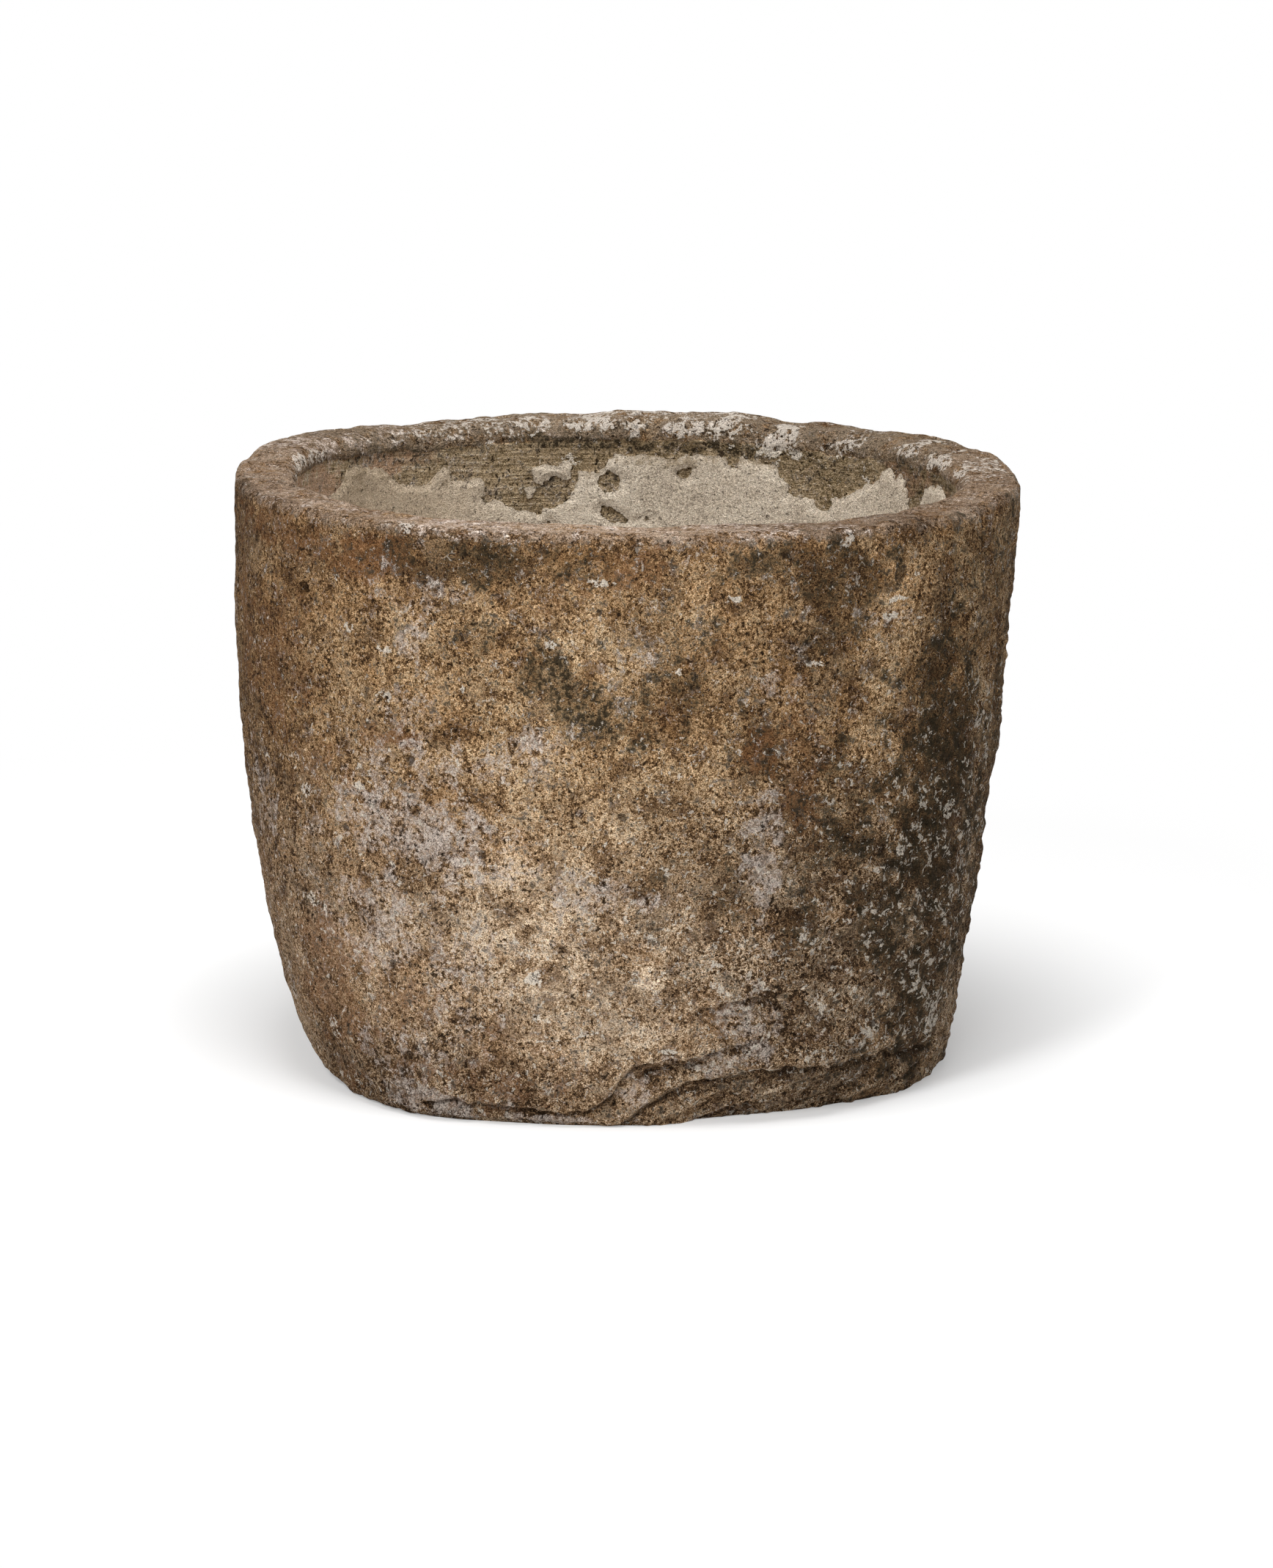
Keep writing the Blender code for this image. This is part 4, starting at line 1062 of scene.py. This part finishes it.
def stoneMaterial():
    finish = stoneFinish
    material, board = newFinish("weathered_limestone_dressed")
    spot = board.node("ShaderNodeTexCoord", out=3)

    def mask(name):
        return board.node("ShaderNodeAttribute", {"attribute_name": name}, out=2)

    bloom, flecks, soot, rust = mask("bloom"), mask("flecks"), mask("soot"), mask("rust")
    pale, band, bare, cavity = mask("tan"), mask("rimBand"), mask("bareWall"), mask("cavity")
    shade, rough, chalk, aged = mask("shade"), mask("rough"), mask("chalk"), mask("aged")

    # From a hand's breadth down to single grains
    hand = cloud(board, spot, 0.110, 3.0, 0.6, 0.5)
    hue = cloud(board, spot, 0.060, 4.0, 0.7, 0.6)
    thumb = cloud(board, spot, 0.030, 4.0, 0.65, 0.5)
    clump = cloud(board, spot, 0.010, 4.0, 0.7, 0.3)
    grain = cloud(board, spot, 0.0036, 3.0, 0.65, 0.2)
    grit = cloud(board, spot, 0.0012, 2.0, 0.6)
    lime = cloud(board, spot, 0.016, 5.0, 0.75, 0.6)
    lace = cloud(board, spot, 0.0062, 3.0, 0.6, 0.6)
    weave = cloud(board, spot, 0.0130, 3.0, 0.6, 1.0)

    # Fine strokes of the claw chisel, level on the hollow's wall and round the rim
    level = board.node("ShaderNodeSeparateXYZ", {}, {0: spot}, out=2)
    flat = board.node("ShaderNodeVectorMath", {"operation": "MULTIPLY"}, {0: spot, 1: (1.0, 1.0, 0.0)})
    reach = board.node("ShaderNodeVectorMath", {"operation": "LENGTH"}, {0: flat}, out=1)
    fast = board.node("ShaderNodeCombineXYZ", {}, {0: reach * 380.0, 1: level * 380.0})
    slow = spot.scaled(46.0)
    strokes = board.node("ShaderNodeVectorMath", {"operation": "ADD"}, {0: fast, 1: slow})
    comb = cloud(board, strokes, 1.0, 3.0, 0.65, 0.3)

    stir = rough * 0.6 + 1.0
    # The grain noises also lift the bump, so raised grains come out lighter and low ones darker: partly the
    # stone's own grain, partly painted light and shade; the shade mask adds its painted light and shade
    tone = (thumb * 0.15 + clump * 0.17 + grain * 0.27 + grit * 0.19) * stir + hand * 0.09
    tone = tone + 0.47 + pale * 0.14 + shade * 1.1 - rough * 0.06
    colour = board.node("ShaderNodeValToRGB", {"stops": finish["tones"]}, {0: tone})
    colour = colour.mixed(finish["ochre"], (hue + clump * 0.4 + grain * 0.3).between(0.05, 1.2) * 0.28)
    colour = colour.mixed(finish["ash"], (clump * 0.4 + grain * 0.3 - hue).between(0.10, 1.2) * 0.44)
    brown = (clump * 0.45 - thumb * 0.55 + lime * 0.35 + grain * 0.35).between(0.35, 0.80)
    colour = colour.mixed(finish["brown"], brown * 0.68)
    colour = colour.mixed(finish["rust"], (rust + thumb * 0.22 + clump * 0.25).between(0.15, 0.85) * 0.75)
    colour = colour.mixed(finish["grading"], 1.0, "MULTIPLY")
    colour = colour.mixed(finish["upperGrading"], level.between(0.18, 0.42), "MULTIPLY")

    # Bare wall of the hollow
    wallTone = comb * 0.18 + thumb * 0.15 + clump * 0.13 + grain * 0.10 + grit * 0.06 + shade * 1.1 + 0.56
    wallColour = board.node("ShaderNodeValToRGB", {"stops": finish["bareTones"]}, {0: wallTone})
    wallColour = wallColour.mixed(finish["bareRust"], (rust + thumb * 0.25).between(0.1, 0.9) * 0.75)
    colour = colour.mixed(wallColour, bare)

    # Rubbed top of the rim
    rimTone = comb * 0.11 + thumb * 0.18 + clump * 0.17 + grain * 0.14 + grit * 0.12 + shade * 1.1 + 0.425
    rimColour = board.node("ShaderNodeValToRGB", {"stops": finish["rimTones"]}, {0: rimTone})
    rimColour = rimColour.mixed(finish["agedRim"], aged * 0.50)
    worn = (band + thumb * 0.30 + clump * 0.30 + grain * 0.15).between(0.20, 1.10)
    colour = colour.mixed(rimColour, worn * 0.9)

    # Soot and lichen, thick where the masks say so and in stray specks elsewhere
    crowd = thumb * 0.30 + clump * 0.55 + grain * 0.60 + grit * 0.30
    sooty = (soot * 0.95 + crowd * 1.1 + rough * 0.10 + 0.06).between(0.84, 1.06)
    skin = (soot + thumb * 0.25 + clump * 0.40 + grain * 0.22).between(0.93, 1.05)
    dim = (soot * 1.1 + thumb * 0.35 + clump * 0.30 + grain * 0.20).between(0.2, 1.1)
    colour = colour.mixed(finish["dimness"], dim * 0.50)
    colour = colour.mixed(finish["skin"], skin * 0.80)
    colour = colour.mixed(finish["soot"], sooty * 0.84)

    # Lime bloom: a thin veil, then crumbs
    veil = (bloom * 1.1 + lime * 0.45 + clump * 0.30 + grain * 0.20).between(0.20, 1.20)
    veil = veil * (1.0 - sooty * 0.65 - skin * 0.25)
    colour = colour.mixed(finish["bloom"], veil * 0.62)
    dusted = (bloom * 0.95 + lime * 0.50 + grain * 0.50 + grit * 0.25).between(0.85, 1.10)
    colour = colour.mixed(finish["dust"], dusted * 0.75)
    crust = (flecks * 1.15 + lace * 0.24 + lime * 0.24 + clump * 0.25 + grain * 0.32).between(0.84, 0.97)
    crust = crust * (1.0 - (grit * 0.5 + grain * 0.5).between(0.30, 0.60) * band * 0.6)
    limed = board.node("ShaderNodeMix", {"data_type": "RGBA"}, {
        0: band, 6: finish["crust"], 7: finish["rimCrust"],
    }, out=2)
    colour = colour.mixed(limed, crust * 0.86)
    crumb = (lace * 0.80 + lime * 0.35 + hand * 0.12 + chalk * 0.68 + 0.08).between(1.00, 1.12)
    crumb = crumb * (1.0 - band * 0.8) * (1.0 - level.between(0.36, 0.50) * 0.45)
    colour = colour.mixed(finish["crust"], crumb * 0.78)

    # Pits, short cracks and the dark between the grains, painted as shade in these small hollows; then the
    # painted shade of the cavity mask
    pit = (lace * -0.80 - grain * 0.45 - hand * 0.25).between(1.04, 1.16)
    cracked = (lime * 0.7 - thumb * 0.4 + grain * 0.3).between(0.35, 0.60)
    crack = (0.14 - weave.size()).between(0.0, 0.10) * cracked
    sunk = (cavity + grain * 0.30).between(0.55, 0.85)
    hollow = pit.most(crack)
    colour = colour.mixed(finish["pit"], hollow * 0.86)
    colour = colour.mixed(finish["hollowPit"], sunk * 0.70)
    # Brightness lifted on raised grains and lowered in low ones, painted light and shade that follows the
    # bump, with the shade mask's painted light and shade
    colour = colour.scaled((grit * 0.38 + grain * 0.18 + shade * 0.8 + 1.0).within(0.25, 1.70))

    height = (grit * 0.30 + grain * 0.60 + clump * 0.85) * stir * (1.0 - band * 0.45)
    height = height + crumb * 0.9 + crust * 0.6 + dusted * 0.3 - hollow * 1.9
    height = height + comb * (bare * 0.45 + band * 0.22)
    finishOff(board, colour, 0.94, height, 0.0012)
    return material


renderFinish = {
    "tones": [
        (0.00, (0.190, 0.150, 0.108)), (0.50, (0.590, 0.500, 0.392)), (1.00, (0.880, 0.800, 0.680)),
    ],
    "warm": (0.490, 0.365, 0.235),
    "soil": (0.260, 0.195, 0.120),
    "stain": (0.200, 0.150, 0.098),
    "pore": (0.060, 0.043, 0.028),
}


def renderMaterial():
    finish = renderFinish
    material, board = newFinish("lime_render_dressed")
    spot = board.node("ShaderNodeTexCoord", out=3)
    inward = board.node("ShaderNodeAttribute", {"attribute_name": "inward"}, out=2)
    soil = board.node("ShaderNodeAttribute", {"attribute_name": "soil"}, out=2)
    hand = cloud(board, spot, 0.090, 3.0)
    clump = cloud(board, spot, 0.014, 4.0, 0.7, 0.5)
    sand = cloud(board, spot, 0.0028, 3.0, 0.7)
    grit = cloud(board, spot, 0.0011, 2.0, 0.6)
    hole = cloud(board, spot, 0.0042, 2.0, 0.6, 0.5)
    tone = 0.51 + hand * 0.07 + clump * 0.10 + sand * 0.12 + grit * 0.06
    colour = board.node("ShaderNodeValToRGB", {"stops": finish["tones"]}, {0: tone})
    side = board.node("ShaderNodeSeparateXYZ", {}, {0: spot})
    left = (side * -4.0 + hand * 0.12 + clump * 0.1).between(0.25, 1.10)
    colour = colour.mixed(finish["warm"], left * 0.55)
    colour = colour.mixed(finish["stain"], (clump * 0.6 + sand * 0.3).between(0.55, 1.1) * 0.45)
    rubbed = (1.0 - inward + clump * 0.25 + sand * 0.2).between(0.65, 1.2)
    colour = colour.mixed(finish["stain"], rubbed * 0.45)
    soiled = (soil + clump * 0.40 + sand * 0.25).between(0.35, 1.0)
    colour = colour.mixed(finish["soil"], soiled * 0.75)
    # Pores: painted shade in the small holes of the render
    pore = (hole * 0.7 + sand * 0.5).between(0.85, 1.05)
    colour = colour.mixed(finish["pore"], pore * 0.75)
    colour = colour.scaled((grit * 0.22 + sand * 0.12 + 1.0).within(0.4, 1.5))
    height = sand * 0.42 + grit * 0.28 + clump * 0.3 - pore * 1.2
    finishOff(board, colour, 0.95, height, 0.0009)
    return material


# Stage, light and camera, as the photograph has them
stage = {
    "floorSize": 14.0,  # metres from the middle to each edge
    "floorColour": (0.93, 0.93, 0.93),
    "skyStrength": 0.355,  # of the light it sheds; it is seen at full strength
}

lamps = {
    # place, size, watts
    "key": ((-1.7, -2.9, 3.1), 1.1, 84.0),
    "fill": ((1.8, -3.4, 1.6), 2.4, 8.0),
    "top": ((0.0, -0.5, 3.4), 1.8, 110.0),
}

view = {
    "place": (0.0, -5.0265, 1.46365),
    "tilt": 76.899,
    "lens": 114.08,
    "shift": (0.00585, -0.01179),
    "sensor": 36.0,
}


def floorMaterial():
    material, board = newFinish("studio_floor")
    path = board.node("ShaderNodeLightPath")
    paint = board.node("ShaderNodeBsdfPrincipled", {}, {
        "Base Color": stage["floorColour"], "Roughness": 0.9,
    })
    glow = board.node("ShaderNodeEmission", {}, {"Color": (1.0, 1.0, 1.0), "Strength": 1.0})
    spot = board.node("ShaderNodeTexCoord", out=3)
    away = board.node("ShaderNodeVectorMath", {"operation": "LENGTH"}, {0: spot}, out=1)
    white = (0.30 + away.between(0.5, 1.6) * 0.70).within(0.0, 1.0)
    mix = board.node("ShaderNodeMixShader", {}, {0: path * white, 1: paint, 2: glow})
    board.node("ShaderNodeOutputMaterial", {}, {"Surface": mix})
    return material


def buildStage():
    size = stage["floorSize"]
    mesh = bpy.data.meshes.new("studio_floor")
    corners = [(-size, -size, 0), (size, -size, 0), (size, size, 0), (-size, size, 0)]
    mesh.from_pydata(corners, [], [(0, 1, 2, 3)])
    floor = bpy.data.objects.new("studio_floor", mesh)
    bpy.context.scene.collection.objects.link(floor)
    floor.data.materials.append(floorMaterial())
    world = bpy.data.worlds.new("studio_sky")
    world.use_nodes = True
    bpy.context.scene.world = world
    world.node_tree.nodes.clear()
    board = Wire(world.node_tree)
    straight = board.node("ShaderNodeLightPath", out="Is Camera Ray")
    glossy = board.node("ShaderNodeLightPath", out="Is Glossy Ray")
    through = board.node("ShaderNodeLightPath", out="Is Transmission Ray")
    direct = straight.most(glossy).most(through)
    strength = stage["skyStrength"] + direct * (1.0 - stage["skyStrength"])
    back = board.node("ShaderNodeBackground", {}, {"Color": (1.0, 1.0, 1.0), "Strength": strength})
    board.node("ShaderNodeOutputWorld", {}, {"Surface": back})


def buildLamps():
    for name, (place, size, watts) in lamps.items():
        light = bpy.data.lights.new(name, "AREA")
        light.shape = "DISK"
        light.size = size
        light.energy = watts
        lamp = bpy.data.objects.new(name, light)
        lamp.location = place
        aim = Vector((0.0, 0.0, 0.3)) - Vector(place)
        lamp.rotation_euler = aim.to_track_quat("-Z", "Y").to_euler()
        bpy.context.scene.collection.objects.link(lamp)


def buildCamera():
    data = bpy.data.cameras.new("photograph_view")
    data.lens = view["lens"]
    data.sensor_width = view["sensor"]
    data.sensor_fit = "AUTO"
    data.shift_x, data.shift_y = view["shift"]
    data.clip_end = 60.0
    camera = bpy.data.objects.new("photograph_view", data)
    camera.location = view["place"]
    camera.rotation_euler = (radians(view["tilt"]), 0.0, 0.0)
    bpy.context.scene.collection.objects.link(camera)
    bpy.context.scene.camera = camera


buildStage()
buildLamps()
buildCamera()

print("Dressing the stone")
body = buildStone()
body.data.materials.append(stoneMaterial())
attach(body, "root")
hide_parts("stone_body")

print("Laying the render")
coat = renderMaterial()
lining = buildLining()
islands = {
    "render_remnant_large": buildIsland("render_island_large", renderIslands["render_island_large"]),
    "render_remnant_small": buildIsland("render_island_small", renderIslands["render_island_small"]),
}
for piece, node in [(lining, "render_lining")] + [(island, node) for node, island in islands.items()]:
    piece.data.materials.append(coat)
    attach(piece, "root")
    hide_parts(node)

bpy.context.scene.view_settings.view_transform = "Standard"
